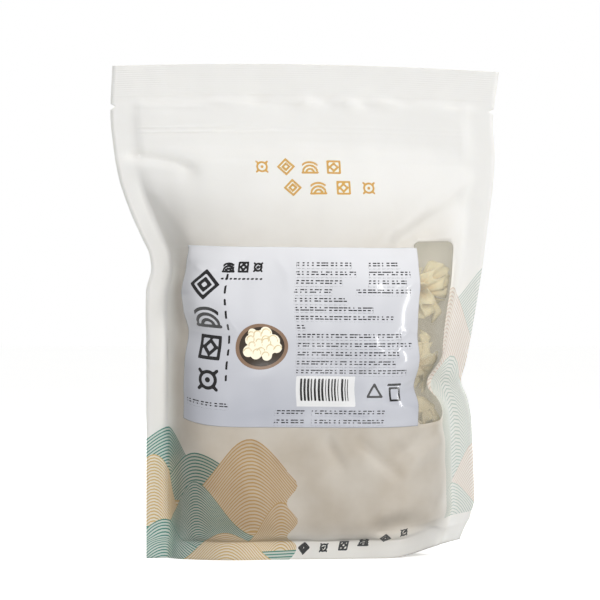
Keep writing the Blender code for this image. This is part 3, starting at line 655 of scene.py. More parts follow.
def window_distance(s, t, inset):
    """Signed distance to the window's rounded outline, made smaller by inset."""
    centre_s = sum(WINDOW_ACROSS) / 2
    centre_t = sum(WINDOW_UP) / 2
    radius = WINDOW_CORNER - inset
    reach_s = (WINDOW_ACROSS[1] - WINDOW_ACROSS[0]) / 2 - WINDOW_CORNER
    reach_t = (WINDOW_UP[1] - WINDOW_UP[0]) / 2 - WINDOW_CORNER
    away = Vector((max(abs(s - centre_s) - reach_s, 0), max(abs(t - centre_t) - reach_t, 0)))
    return away.length - radius


def fit_to_window(sheet, inset, keep):
    """Cut a flat sheet along the window's outline, made smaller by inset, and keep what lies
    outside it (1) or inside it (-1)."""
    cut = []
    for face in sheet.faces:
        middle = face.calc_center_median()
        if keep * window_distance(middle.x, middle.y, inset) < 0:
            cut.append(face)
    bmesh.ops.delete(sheet, geom=cut, context="FACES")
    for vertex in {end for edge in sheet.edges if edge.is_boundary for end in edge.verts}:
        s, t, _ = vertex.co
        gone = window_distance(s, t, inset)
        slope_s = (window_distance(s + SLOPE_STEP, t, inset) - gone) / SLOPE_STEP
        slope_t = (window_distance(s, t + SLOPE_STEP, inset) - gone) / SLOPE_STEP
        if abs(gone) < SNAP_REACH and slope_s**2 + slope_t**2 > 0.5:
            vertex.co.x -= gone * slope_s
            vertex.co.y -= gone * slope_t


def cut_notches(sheet):
    """Nick both side edges for tearing, by drawing the film in beside each nick."""
    for vertex in sheet.verts:
        level = abs(vertex.co.y - NOTCH_LEVEL) / NOTCH_HALF_HEIGHT
        beyond = abs(vertex.co.x) - (HALF_WIDTH - NOTCH_ZONE)
        if level < 1 and beyond > 0:
            pull = NOTCH_REACH * (1 - level) * beyond / NOTCH_ZONE
            vertex.co.x -= math.copysign(pull, vertex.co.x)


def finish_piece(name, mesh, material, replaced, thickness, offset):
    """Make a piece of a formed sheet, with its wall, finish, body and the solid it replaces."""
    mesh.shade_smooth()
    mesh.update()
    mesh.materials.append(material)
    made = bpy.data.objects.new(name, mesh)
    bpy.context.scene.collection.objects.link(made)
    wall = made.modifiers.new("wall", "SOLIDIFY")
    wall.thickness = thickness
    wall.offset = offset
    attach(made, "root")
    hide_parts(replaced)


def add_sheet(sheet, name, place, side, material, replaced, thickness, fields=None):
    """Form a flat sheet with place(s, t), and give it its print fields and its UVs."""
    mesh = bpy.data.meshes.new(name)
    if side == BACK:
        bmesh.ops.reverse_faces(sheet, faces=sheet.faces[:])
    sheet.to_mesh(mesh)
    sheet.free()
    flat = np.empty(len(mesh.vertices) * 3, np.float32)
    mesh.vertices.foreach_get("co", flat)
    s, t, _ = flat.reshape(-1, 3).astype(float).T
    mesh.vertices.foreach_set("co", place(s, t).astype(np.float32).ravel())
    for field, values in (fields(s, t) if fields else {}).items():
        layer = mesh.attributes.new(field, "FLOAT", "POINT")
        layer.data.foreach_set("value", values.astype(np.float32))
    corners = np.empty(len(mesh.loops), np.int32)
    mesh.loops.foreach_get("vertex_index", corners)
    layer = mesh.uv_layers.new(name="flat_film")
    uv = np.stack([s / PANEL_WIDTH + 0.5, t / PANEL_LENGTH], axis=1)[corners]
    layer.uv.foreach_set("vector", uv.astype(np.float32).ravel())
    finish_piece(name, mesh, material, replaced, thickness, -1.0)


def hill_phase(s, t, peak, foot, rise, spread, tilt, spacing):
    """How many lines below a hill's crest each place lies, in millimetres of flat film."""
    crest = foot + rise * np.exp(-(((s - peak) / spread) ** 2)) + tilt * (s - peak)
    return (crest - t) / spacing


def hill_fields(s, t, hills, name):
    """A field for each hill of the line print."""
    return {
        f"{name}_{number}": hill_phase(s, t, *hill[1:])
        for number, hill in enumerate(hills)
    }


# Shapes are drawn by signed distance, at places that are complex numbers: across + up * 1j
def bar(at, centre, half):
    """Signed distance to a rectangle."""
    away = at - centre
    return np.maximum(np.abs(away.real) - half.real, np.abs(away.imag) - half.imag)


def stroke(at, start, end, half_width):
    """Signed distance to a round-ended stroke."""
    along = end - start
    share = ((at - start) * along.conjugate()).real / abs(along) ** 2
    return np.abs(at - start - np.clip(share, 0.0, 1.0) * along) - half_width


def ring(at, centre, radius, half_width):
    """Signed distance to a ring."""
    return np.abs(np.abs(at - centre) - radius) - half_width


def disc(at, centre, radius):
    """Signed distance to a disc."""
    return np.abs(at - centre) - radius


def diamond(at, centre, reach, half_width):
    """Signed distance to a diamond's outline."""
    away = at - centre
    return np.abs((np.abs(away.real) + np.abs(away.imag) - reach) / math.sqrt(2)) - half_width


def together(*shapes):
    """Signed distance to any of several shapes."""
    return np.minimum.reduce(shapes)


def ring_ornament(at, centre, size, line):
    """A ring round a dot, with four short rays."""
    tips = [cmath.rect(size, math.tau * (step + 0.5) / 4) for step in range(4)]
    rays = [stroke(at, centre + 0.62 * tip, centre + tip, line) for tip in tips]
    return together(ring(at, centre, 0.62 * size, line), disc(at, centre, 1.6 * line), *rays)


def diamond_ornament(at, centre, size, line):
    """Two nested diamonds."""
    return together(*[diamond(at, centre, reach * size, line) for reach in (1.0, 0.42)])


def fan_ornament(at, centre, size, line):
    """Three arcs of a fan over a straight foot."""
    low = centre - 0.8j * size
    away = at - low
    beyond = np.maximum(np.abs(away.real) - size, -away.imag)
    arcs = [np.maximum(ring(at, low, reach * size, line), beyond) for reach in (0.5, 0.95, 1.4)]
    return together(stroke(at, low - size, low + size, line), *arcs)


def square_ornament(at, centre, size, line):
    """A square outline round a smaller turned one."""
    outline = np.abs(bar(at, centre, 0.78 * size * (1 + 1j))) - line
    return together(outline, diamond(at, centre, 0.5 * size, line))


ORNAMENTS = (ring_ornament, diamond_ornament, fan_ornament, square_ornament)


# Gold ornaments in rows of (first place, spacing, count), and black ones at the foot
GOLD_ROWS = {
    FRONT: ((-23 + 206.2j, 12.6, 4), (-7.5 + 195j, 13.4, 4)),
    BACK: ((-19.5 + 200j, 13.0, 4),),
}
GOLD_SIZE = 4.1
GOLD_LINE = 0.52
FOOT_MARKS = (-3 + 5.5j, 8 + 5.6j, 19 + 6.6j, 30 + 8.6j, 41 + 11.6j, 51.5 + 14.4j)
FOOT_SIZE = 2.8
FOOT_LINE = 0.46
# Where the contents begin and end to show through the film, and how much of their tint the foot
# seal takes as painted shade
CONTENTS_UP = (3.0, 22.0, 120.0, 215.0)
CONTENTS_ACROSS = (72.0, 90.0)
FOOT_PAINTED_SHADE = 0.35


def ornaments(at, places, size, line, first=0, step=1):
    """Ornaments at the given places, each kind in its turn."""
    return together(*[
        ORNAMENTS[(first + number * step) % len(ORNAMENTS)](at, centre, size, line)
        for number, centre in enumerate(places)
    ])


def gold_marks(at, side):
    """The rows of gold ornaments."""
    rows = []
    for row, (start, spacing, count) in enumerate(GOLD_ROWS[side]):
        places = [start + number * spacing for number in range(count)]
        rows.append(ornaments(at, places, GOLD_SIZE, GOLD_LINE, row))
    return together(*rows)


def front_fields(s, t):
    """Print fields of the front film."""
    s, t = s / MM, t / MM
    end, sway, sway_length = FRONT_PRINT_END
    return {
        **hill_fields(s, t, FRONT_HILLS, "hill"),
        "hill_area": end + sway * np.sin(t / sway_length * math.tau) - s,
        **hill_fields(s, t, SEAM_HILLS, "seam"),
        "seam_area": -bar(s + 1j * t, *SEAM_PRINT),
        "gold_marks": gold_marks(s + 1j * t, FRONT),
        "foot_marks": ornaments(s + 1j * t, FOOT_MARKS, FOOT_SIZE, FOOT_LINE, 1, 3),
        "contents": contents_and_foot_shade(s, t),
    }


def back_fields(s, t):
    """Print fields of the back film."""
    s, t = s / MM, t / MM
    start, sway, sway_length = BACK_PRINT_START
    return {
        **hill_fields(s, t, BACK_HILLS, "hill"),
        "hill_area": s - start + sway * np.sin(t / sway_length),
        "gold_marks": gold_marks(s + 1j * t, BACK),
        "contents": contents_and_foot_shade(s, t),
    }


def contents_and_foot_shade(s, t):
    """How much the dried ears show through the film, from 0 to 1. The same tint is laid on the
    foot seal as painted shade, which makes it a little duller than the other seals."""
    low, low_end, high, high_end = CONTENTS_UP
    up = FOOT_PAINTED_SHADE + (1 - FOOT_PAINTED_SHADE) * smooth_step(low, low_end, t)
    up = up * (1 - smooth_step(high, high_end, t))
    return up * (1 - smooth_step(*CONTENTS_ACROSS, np.abs(s)))


def fill(tree, node, inputs):
    """Set or link a node's inputs. A colour comes without its alpha."""
    for name, value in inputs.items():
        socket = node.inputs[name]
        if isinstance(value, bpy.types.NodeSocket):
            tree.links.new(value, socket)
        else:
            socket.default_value = (*value, 1.0) if socket.type == "RGBA" else value


def add(tree, kind, inputs=None, out=0, **settings):
    """Add a node with its settings and inputs, and give one of its outputs."""
    node = tree.nodes.new("ShaderNode" + kind)
    for name, value in settings.items():
        setattr(node, name, value)
    fill(tree, node, inputs or {})
    return node.outputs[out] if node.outputs else None


def new_material(name):
    """A new material, its node tree, its shader and its object coordinates in metres."""
    material = bpy.data.materials.new(name)
    material.use_nodes = True
    tree = material.node_tree
    place = add(tree, "TexCoord", out="Object")
    return material, tree, tree.nodes["Principled BSDF"], place


def print_on(tree, colour, field, ink):
    """Lay an ink on a colour wherever a field of signed distances is negative."""
    read = add(tree, "Attribute", out="Fac", attribute_name=field)
    inside = add(tree, "Math", {0: read, 1: 0.0}, operation="LESS_THAN")
    return add(tree, "Mix", {0: inside, 6: colour, 7: ink}, 2, data_type="RGBA")


def hill_print(tree, paper, hills, name, wash):
    """The line print: hills of parallel lines, each laid over those behind it."""
    settings = bpy.context.scene.pouch_film
    inks = {"gold": settings.gold, "teal": settings.teal, **SEAM_INKS}
    colour = paper
    for number, hill in enumerate(hills):
        ink = inks[hill[0]]
        tint = tuple(1 - wash * (1 - channel) for channel in ink)
        phase = add(tree, "Attribute", out="Fac", attribute_name=f"{name}_{number}")
        below = add(tree, "Math", {0: phase, 1: 0.0}, operation="GREATER_THAN")
        part = add(tree, "Math", {0: phase}, operation="FRACT")
        line = add(tree, "Math", {0: part, 1: LINE_SHARE[hill[0]]}, operation="LESS_THAN")
        inked = add(tree, "Math", {0: line, 1: below}, operation="MULTIPLY")
        for share, tone in ((below, tint), (inked, ink)):
            both = {0: 1.0, 6: paper, 7: tone}
            laid = add(tree, "Mix", both, 2, data_type="RGBA", blend_type="MULTIPLY")
            colour = add(tree, "Mix", {0: share, 6: colour, 7: laid}, 2, data_type="RGBA")
    read = add(tree, "Attribute", out="Fac", attribute_name=name + "_area")
    inside = add(tree, "Math", {0: read, 1: 0.0}, operation="GREATER_THAN")
    return add(tree, "Mix", {0: inside, 6: paper, 7: colour}, 2, data_type="RGBA")


def film_material(name, hill_sets, marks):
    """Matt-laminated white BOPP film, gravure printed and heat sealed: a satin sheen that
    spreads each highlight, a faint orange peel, a warmer tone where the contents press on it,
    and the same tone as painted shade on the foot seal."""
    settings = bpy.context.scene.pouch_film
    material, tree, shader, place = new_material(name)
    # The contents field: where the ears show through, and painted shade on the foot seal
    touch_and_foot_shade = add(tree, "Attribute", out="Fac", attribute_name="contents")
    # 38 to the metre: patches 26 mm across, about as wide as the ears behind them
    patches = add(tree, "TexNoise", {"Vector": place, "Scale": 38.0, "Detail": 3.0})
    spread = add(
        tree, "MapRange",
        {"Value": patches, "From Min": 0.35, "From Max": 0.68, "To Min": 0.80},
    )
    warmth_and_foot_shade = add(tree, "Math", {0: touch_and_foot_shade, 1: spread}, operation="MULTIPLY")
    ends = {0: warmth_and_foot_shade, 6: settings.white, 7: settings.contents_and_shade_tint}
    colour = add(tree, "Mix", ends, 2, data_type="RGBA")
    for hills, field, wash in hill_sets:
        colour = hill_print(tree, colour, hills, field, wash)
    for field, code in marks:
        colour = print_on(tree, colour, field, linear(code))
    # Orange peel 2.4 mm across, drawn coarser than the real 0.3 mm, so that it shows
    peel = add(tree, "TexNoise", {"Vector": place, "Scale": 420.0, "Detail": 2.0})
    low, high = settings.roughness - 0.05, settings.roughness + 0.06
    fill(tree, shader, {
        "Base Color": colour,
        "Roughness": add(tree, "MapRange", {"Value": patches, "To Min": low, "To Max": high}),
        "Normal": add(tree, "Bump", {"Height": peel, "Strength": 0.25, "Distance": 0.00008}),
        "IOR": 1.5,
        "Subsurface Weight": 0.62,
        "Subsurface Radius": (1.0, 0.95, 0.85),
        "Subsurface Scale": 0.0012,
    })
    return material


def pane_material():
    """Clear BOPP film: a thin glossy pane that takes sharp glints and barely tints."""
    material, tree, shader, place = new_material("window_clear_bopp")
    # Haze in clouds 17 mm across
    haze = add(tree, "TexNoise", {"Vector": place, "Scale": 60.0, "Detail": 2.0})
    ends = {0: haze, 6: linear("#d2cbb8"), 7: linear("#dfdac7")}
    tint = add(tree, "Mix", ends, 2, data_type="RGBA")
    fill(tree, shader, {"Base Color": tint, "Roughness": 0.10, "IOR": 1.5, "Alpha": 0.20})
    return material


def label_material():
    """Glossy coated PP label, digitally printed: cool white with sharp black ink and a clear
    mirror-like gloss that shows every small crease."""
    settings = bpy.context.scene.pouch_label
    material, tree, shader, place = new_material("label_glossy_coated_pp")
    # Clouds 40 mm across, and duller towards the foot, where less light falls
    tone = add(tree, "TexNoise", {"Vector": place, "Scale": 25.0, "Detail": 2.0})
    height = add(tree, "SeparateXYZ", {"Vector": place}, "Z")
    low = add(
        tree, "MapRange",
        {"Value": height, "From Min": 0.160, "From Max": 0.075, "To Max": 0.75},
    )
    dull = add(tree, "Math", {0: tone, 1: 0.35, 2: low}, operation="MULTIPLY_ADD")
    ends = {0: dull, 6: settings.white, 7: linear("#a4a6ae")}
    colour = add(tree, "Mix", ends, 2, data_type="RGBA")
    for field, code in LABEL_PRINTS:
        colour = print_on(tree, colour, field, linear(code))
    colour = print_on(tree, colour, "ink", settings.ink)
    # Rows of small type: broken strokes, two to a row, in cells 2.45 mm wide
    flat = add(tree, "UVMap", out="UV", uv_map="flat_film")
    across = add(tree, "SeparateXYZ", {"Vector": flat}, "X")
    cell = add(tree, "Math", {0: across, 1: TYPE_CELLS}, operation="MULTIPLY")
    number = add(tree, "Math", {0: cell}, operation="FLOOR")
    part = add(tree, "Math", {0: cell}, operation="FRACT")
    row = add(tree, "Attribute", out="Fac", attribute_name="type_row")
    level = add(tree, "Attribute", out="Fac", attribute_name="type_level")
    for side in (-1, 1):
        seed = add(tree, "Math", {0: row, 1: 2.0 + side, 2: number}, operation="MULTIPLY_ADD")
        chance = add(tree, "TexWhiteNoise", {"W": seed}, noise_dimensions="1D")
        wide = add(tree, "MapRange", {"Value": chance, "To Min": 0.25})
        short = add(tree, "Math", {0: part, 1: wide}, operation="LESS_THAN")
        band = {0: level, 1: side * TYPE_STROKE_LEVEL, 2: TYPE_STROKE}
        off = add(tree, "Math", band, operation="COMPARE")
        typed = add(tree, "Math", {0: short, 1: off}, operation="MULTIPLY")
        ends = {0: typed, 6: colour, 7: settings.ink}
        colour = add(tree, "Mix", ends, 2, data_type="RGBA")
    fill(tree, shader, {
        "Base Color": colour,
        "Roughness": settings.roughness,
        "IOR": 1.5,
        "Coat Weight": 0.3,
        "Coat Roughness": 0.06,
        "Normal": add(tree, "Bump", {"Height": tone, "Strength": 0.3, "Distance": 0.0006}),
    })
    return material


def zipper_material():
    """Extruded LDPE zipper strip: milky, waxy and slightly see-through."""
    material, tree, shader, place = new_material("zipper_extruded_ldpe")
    # Drawn lines along the strip, 0.35 mm apart, coarser than real die lines
    flow = add(
        tree, "TexWave", {"Vector": place, "Scale": 900.0, "Distortion": 0.6, "Detail": 1.0},
        "Fac", bands_direction="Z",
    )
    ends = {0: flow, 6: linear("#e9e8e3"), 7: linear("#f4f3ef")}
    fill(tree, shader, {
        "Base Color": add(tree, "Mix", ends, 2, data_type="RGBA"),
        "Roughness": 0.35,
        "IOR": 1.51,
        "Normal": add(tree, "Bump", {"Height": flow, "Strength": 0.3, "Distance": 0.00003}),
    })
    return material


def fungus_material():
    """Air-dried white tree fungus: brittle, slightly translucent cream lobes with a fine
    wrinkled grain, darker amber where they grow together, and painted shade that darkens
    them low in the bag."""
    settings = bpy.context.scene.pouch_contents
    material, tree, shader, place = new_material("fungus_air_dried")
    # Wrinkles 4 mm across with finer ones on them, and blotches of 17 mm
    wrinkles = {"Vector": place, "Scale": 260.0, "Detail": 4.0, "Roughness": 0.6}
    grain = add(tree, "TexNoise", wrinkles)
    blotch = add(tree, "TexNoise", {"Vector": place, "Scale": 60.0, "Detail": 2.0})
    reach = add(tree, "Attribute", out="Fac", attribute_name="reach")
    height = add(tree, "SeparateXYZ", {"Vector": place}, "Z")
    colour = settings.base
    for value, start, end, most, tone in (
        (reach, 0.05, 0.75, 1.0, settings.cream),
        (blotch, 0.45, 0.75, 0.55, linear("#d9c08a")),
        # Painted shade: the lobes darken towards the foot of the bag, from 130 mm down to 75 mm
        (height, 0.130, 0.075, 0.60, linear("#a8977a")),
    ):
        share = add(
            tree, "MapRange", {"Value": value, "From Min": start, "From Max": end, "To Max": most},
        )
        colour = add(tree, "Mix", {0: share, 6: colour, 7: tone}, 2, data_type="RGBA")
    fill(tree, shader, {
        "Base Color": colour,
        "Roughness": 0.6,
        "IOR": 1.45,
        "Subsurface Weight": 0.25,
        "Subsurface Radius": (1.0, 0.75, 0.4),
        "Subsurface Scale": 0.002,
        "Normal": add(tree, "Bump", {"Height": grain, "Strength": 0.5, "Distance": 0.0004}),
    })
    return material


def panel_columns(facet):
    """Grid lines across a panel, no further apart than a facet, and closer where the crisp
    edges of printed marks need it."""
    seal = HALF_WIDTH - SIDE_SEAL
    marks = (-HALF_WIDTH, -seal, -0.070, -0.030, 0.0120, 0.056, 0.0775, 0.0815, seal, HALF_WIDTH)
    fine = 0.00066
    facets = (facet, facet * 0.8, facet, fine, fine, facet * 0.8, 0.0013, facet, facet)
    return grid_lines(marks, facets)


def panel_rows(facet):
    """Grid lines up a panel: closer at the foot, the window's corners, zipper and top seal."""
    settings = bpy.context.scene.pouch_film
    low, high = WINDOW_UP
    step = WINDOW_CORNER
    zipper_low = ZIPPER_LEVEL - ZIPPER_HALF_BAND
    zipper_high = ZIPPER_LEVEL + ZIPPER_HALF_BAND
    notch_low = NOTCH_LEVEL - NOTCH_HALF_HEIGHT
    notch_high = NOTCH_LEVEL + NOTCH_HALF_HEIGHT
    seal = PANEL_LENGTH - TOP_SEAL
    marks = (
        0.0, 0.0025, 0.0175, low, low + step, high - step, high, 0.1905, 0.2108, zipper_low,
        zipper_high, notch_low, NOTCH_LEVEL, notch_high, seal, PANEL_LENGTH,
    )
    rib = settings.rib_pitch / 4
    facets = (
        0.0013, 0.00066, facet, 0.0013, facet, 0.0013, facet, 0.00066, 0.0016, 0.0004, 0.0015,
        0.0008, 0.0008, 0.0008, rib,
    )
    return grid_lines(marks, facets)


class POUCH_OT_front_film(bpy.types.Operator):
    """Form the printed front film, with its seals, folds, notches and window opening."""

    bl_idname = "pouch.front_film"
    bl_label = "Front film"

    def execute(self, context):
        sheet = flat_grid(panel_columns(0.0025), panel_rows(0.0025))
        fit_to_window(sheet, 0.0, 1)
        cut_notches(sheet)
        hills = ((FRONT_HILLS, "hill", 0.38), (SEAM_HILLS, "seam", 0.30))
        marks = (("gold_marks", "#cf9c4a"), ("foot_marks", "#2b2b2b"))
        add_sheet(
            sheet, "front_film", formed, FRONT,
            film_material("front_printed_bopp_film", hills, marks),
            "front_panel", context.scene.pouch_film.thickness, front_fields,
        )
        return {"FINISHED"}


class POUCH_OT_back_film(bpy.types.Operator):
    """Form the printed back film, with its seals, folds and notches."""

    bl_idname = "pouch.back_film"
    bl_label = "Back film"

    def execute(self, context):
        sheet = flat_grid(panel_columns(0.0030), panel_rows(0.0030))
        cut_notches(sheet)
        hills = ((BACK_HILLS, "hill", 0.22),)
        marks = (("gold_marks", "#cf9c4a"),)
        add_sheet(
            sheet, "back_film", lambda s, t: formed(s, t, BACK), BACK,
            film_material("back_printed_bopp_film", hills, marks),
            "back_panel", context.scene.pouch_film.thickness, back_fields,
        )
        return {"FINISHED"}


def gusset_face(s, v):
    """Points of the gusset, v along it from the front rim over its fold to the back rim."""
    rim = np.minimum(v, 2 * GUSSET_DEPTH - v)
    skirt = np.minimum(rim, FOOT_SEAL)
    front, back = (formed(s, skirt, side, -GUSSET_INSET) for side in (FRONT, BACK))
    on_front = (v <= GUSSET_DEPTH)[:, None]
    start = np.where(on_front, front, back)
    other = np.where(on_front, back, front)
    fold = (start + other) / 2
    spread = np.abs(start[:, 1] - other[:, 1]) / 2
    leg = GUSSET_DEPTH - FOOT_SEAL
    fold[:, 2] += np.sqrt(np.maximum(leg**2 - spread**2, 0.0))
    share = np.clip((rim - FOOT_SEAL) / leg, 0.0, 1.0)
    points = start + (fold - start) * share[:, None]
    belly = np.sin(math.pi * share) * np.minimum(spread / leg, 1.0)
    room = np.maximum(points[:, 2] - GUSSET_CLEARANCE, 0.0)
    points[:, 2] -= np.minimum(GUSSET_SAG * belly, room)
    return points


class POUCH_OT_bottom_gusset(bpy.types.Operator):
    """Form the folded bottom gusset, sealed inside both panels along the foot."""

    bl_idname = "pouch.bottom_gusset"
    bl_label = "Bottom gusset"

    def execute(self, context):
        across = grid_lines((-GUSSET_HALF_WIDTH, GUSSET_HALF_WIDTH), (0.0025,))
        marks = (GUSSET_RIM, FOOT_SEAL, GUSSET_DEPTH)
        far_marks = tuple(2 * GUSSET_DEPTH - mark for mark in (FOOT_SEAL, GUSSET_RIM))
        along = grid_lines(marks + far_marks, (0.0014, 0.0025, 0.0025, 0.0014))
        add_sheet(
            flat_grid(across, along), "bottom_gusset_film", gusset_face, FRONT,
            film_material("gusset_plain_bopp_film", (), ()),
            "bottom_gusset", context.scene.pouch_film.thickness,
        )
        return {"FINISHED"}


class POUCH_OT_window_pane(bpy.types.Operator):
    """Form the clear pane that closes the window opening."""

    bl_idname = "pouch.window_pane"
    bl_label = "Window pane"

    def execute(self, context):
        lines = []
        for low, high in (WINDOW_ACROSS, WINDOW_UP):
            low, high = low + PANE_INSET, high - PANE_INSET
            marks = (low, low + WINDOW_CORNER, high - WINDOW_CORNER, high)
            lines.append(grid_lines(marks, (0.0013, 0.0020, 0.0013)))
        sheet = flat_grid(*lines)
        fit_to_window(sheet, PANE_INSET, -1)
        add_sheet(
            sheet, "window_pane", formed, FRONT, pane_material(), "window",
            context.scene.pouch_film.thickness,
        )
        return {"FINISHED"}


LABEL_CENTRE = (sum(LABEL_ACROSS) / 2, sum(LABEL_UP) / 2)
LABEL_CREASES = (
    (((54, 121), (46, 116), (40, 107)), 0.60, 1.0, 1.3, 1.5, 4),
    (((47, 123), (44, 113), (30, 103), (22, 100)), 0.55, 1.0, 1.2, 1.5, 5),
    (((-62, 154), (-54, 150), (-47, 151)), 0.35, 1.4, 1.5, 1.6, 4),
    (((-44, 131), (-40, 124), (-37, 118)), 0.30, 1.3, 1.4, 1.6, 4),
    (((57, 146), (50, 142), (44, 144)), 0.35, 1.6, 1.6, 1.6, 4),
    (((57, 97), (49, 94), (44, 88)), 0.35, 1.6, 1.8, 1.6, 4),
    (((-20, 160), (-12, 150), (-9, 138)), 0.18, 2.2, 2.2, 1.8, 6),
    (((8, 84), (20, 78), (34, 76)), 0.20, 2.0, 2.2, 1.8, 6),
)
# The label's marks in millimetres: ornaments in the place of large type, short bars in a
# column, a row and over the bin, a plain triangle, a plain bin, and a pale patch of bars
BIG_GLYPHS = (-53.5 + 143.5j, -53 + 127.5j, -52.5 + 111.5j, -52 + 95.5j)
SMALL_GLYPHS = (-42.5 + 152.5j, -34.9 + 152.5j, -27.3 + 152.5j)
SHORT_BARS = (
    *((-42.6 + (147.5 - place * 6.3) * 1j, 0.55 + (1.6 + 0.5 * (place % 2)) * 1j)
      for place in range(9)),
    *((-45 + place * 2.2 + 146.6j, 0.75 + 0.45j) for place in range(10)),
    (44 + 94.4j, 3.8 + 0.6j),
)
TRIANGLE = (33.5 + 90.5j, 4.2, 0.55)
BIN = (44 + 89.6j, 2.5 + 3.1j)
BIN_LINE = 0.5
PATCH = (8.3 + 91j, 15 + 7.6j)
PATCH_BARS = (-4.6, 21.0, 91.8, 5.6)
# The drawn dish of soaked lobes: its middle, its reach, where its rim ends, and its lobes
DISH_CENTRE = -25.5 + 113j
DISH_REACH = 13.6 + 11.4j
DISH_RIM = 0.86
LOBES = 15
LABEL_PRINTS = (
    ("patch", "#d0d0d0"), ("dish", "#7d6450"), ("dish_inside", "#33291f"),
    ("lobes", "#efe6cf"), ("lobe_folds", "#cdbd98"),
)
# Rows of small type: their pitch, the cells across, the strokes' level and half-height
NO_TYPE = 9.0
TYPE_PITCH = 4.45
TYPE_CELLS = PANEL_WIDTH / MM / 2.45
TYPE_STROKE_LEVEL = 0.62
TYPE_STROKE = 0.30
TYPE_ROWS = (
    (154.3, ((-8, 21), (30, 47))), (149.8, ((-8, 24), (30, 53))), (145.4, ((-8, 17), (30, 50))),
    (140.9, ((-8, 12), (24, 53))), (136.5, ((-8, 20),)), (132.0, ((-8, 33),)),
    (127.6, ((-8, 45),)), (123.1, ((-8, -2),)), (118.7, ((-8, 48),)), (114.2, ((-8, 54),)),
    (109.8, ((-8, 46),)), (105.3, ((-8, 44),)), (100.9, ((-8, 50),)),
    (80.6, ((-18, -2), (1, 40))), (75.9, ((-18, -2), (1, 40))), (83.5, ((-65, -41),)),
)


def label_place(a, b):
    """Places on the flat film of the label's own places: it is pasted a little askew."""
    centre_s, centre_t = LABEL_CENTRE
    cosine = math.cos(LABEL_TURN)
    sine = math.sin(LABEL_TURN)
    s = centre_s + (a - centre_s) * cosine - (b - centre_t) * sine
    t = centre_t + (a - centre_s) * sine + (b - centre_t) * cosine
    return s, t


def label_face(a, b):
    """Points of the label's face, a little above the film, with its own creases."""
    s, t = label_place(a, b)
    folds = creases(s / MM, t / MM, LABEL_CREASES) * MM
    return formed(s, t, FRONT, bpy.context.scene.pouch_label.lift + folds)


def label_fields(a, b):
    """Print fields of the label: bold ornaments, rows of dashes, a dish, a patch of bars."""
    a, b = a / MM, b / MM
    at = a + 1j * b
    ink = [
        ornaments(at, BIG_GLYPHS, 6.6, 0.85, 1),
        ornaments(at, SMALL_GLYPHS, 2.9, 0.5, 2),
        triangle_outline(at, *TRIANGLE),
        np.abs(bar(at, *BIN)) - BIN_LINE,
    ]
    ink += [bar(at, *place) for place in SHORT_BARS]
    draw = random.Random(19)
    place, end, middle, half_height = PATCH_BARS
    while place < end:
        wide = draw.choice((0.5, 0.8, 1.1))
        ink.append(bar(at, place + wide / 2 + middle * 1j, wide / 2 + half_height * 1j))
        place += wide + draw.choice((0.7, 0.9, 1.3))
    level = np.full_like(a, NO_TYPE)
    row = np.zeros_like(a)
    for number, (place, spans) in enumerate(TYPE_ROWS):
        for low, high in spans:
            here = (a > low) & (a < high) & (np.abs(b - place) < TYPE_PITCH / 2)
            level[here] = b[here] - place
            row[here] = number * 7.0
    away = at - DISH_CENTRE
    away = np.hypot(away.real / DISH_REACH.real, away.imag / DISH_REACH.imag)
    lobes, folds = [], []
    draw = random.Random(23)
    for number in range(LOBES):
        out = cmath.rect(0.62 * math.sqrt((number + 0.3) / LOBES), number * 2.4)
        centre = DISH_CENTRE + 1j + DISH_REACH.real * out.real + DISH_REACH.imag * out.imag * 1j
        size = draw.uniform(2.2, 3.4)
        lobes.append(disc(at, centre, size))
        bent = centre + draw.uniform(-1, 1) + draw.uniform(-1, 1) * 1j
        folds.append(np.maximum(ring(at, bent, size * 0.7, 0.3), centre.imag - 0.4 - b))
    return {
        "ink": together(*ink),
        "type_level": level,
        "type_row": row,
        "patch": bar(at, *PATCH),
        "dish": away - 1,
        "dish_inside": away - DISH_RIM,
        "lobes": together(*lobes),
        "lobe_folds": together(*folds),
    }


def triangle_outline(at, centre, reach, half_width):
    """Signed distance to the outline of an upright triangle."""
    corners = [centre + cmath.rect(reach, math.tau * (0.25 + step / 3)) for step in range(3)]
    sides = zip(corners, corners[1:] + corners[:1])
    return together(*[stroke(at, start, end, half_width) for start, end in sides])


class POUCH_OT_label(bpy.types.Operator):
    """Paste the printed glossy label on the front, over the window's left part."""

    bl_idname = "pouch.label"
    bl_label = "Label"

    def execute(self, context):
        sheet = flat_grid(grid_lines(LABEL_ACROSS, (0.00062,)), grid_lines(LABEL_UP, (0.0005,)))
        add_sheet(
            sheet, "label_film", label_face, FRONT, label_material(), "label",
            context.scene.pouch_label.thickness, label_fields,
        )
        return {"FINISHED"}


class POUCH_OT_zipper(bpy.types.Operator):
    """Give both zipper strips their extruded finish."""

    bl_idname = "pouch.zipper"
    bl_label = "Zipper"

    def execute(self, context):
        material = zipper_material()
        for name in ("zipper_front", "zipper_back"):
            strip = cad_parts[name]
            for finish in strip.material_slots:
                finish.material = material
            if not strip.material_slots:
                strip.data.materials.append(material)
        return {"FINISHED"}


# The turn from one lobe to the next, how far the lobes spread past an ear's solid, and how
# far those of an ear beside the window reach in behind it
LEAF_TURN = 2.39996
EAR_GROWTH = 0.0012
EAR_WINDOW_REACH = 0.0080
BESIDE_WINDOW = 0.034
# The least depth for a lobe, how often one in less is drawn in, and to what share
EAR_LEAST_ROOM = 0.0025
EAR_DRAWS = 20
EAR_DRAW_SHARE = 0.94
# Clearance from the films, also from where a steep film is a little further out
EAR_CLEARANCE = 0.0017
EAR_PROBES = (0.0, 0.0015, 0.0030)


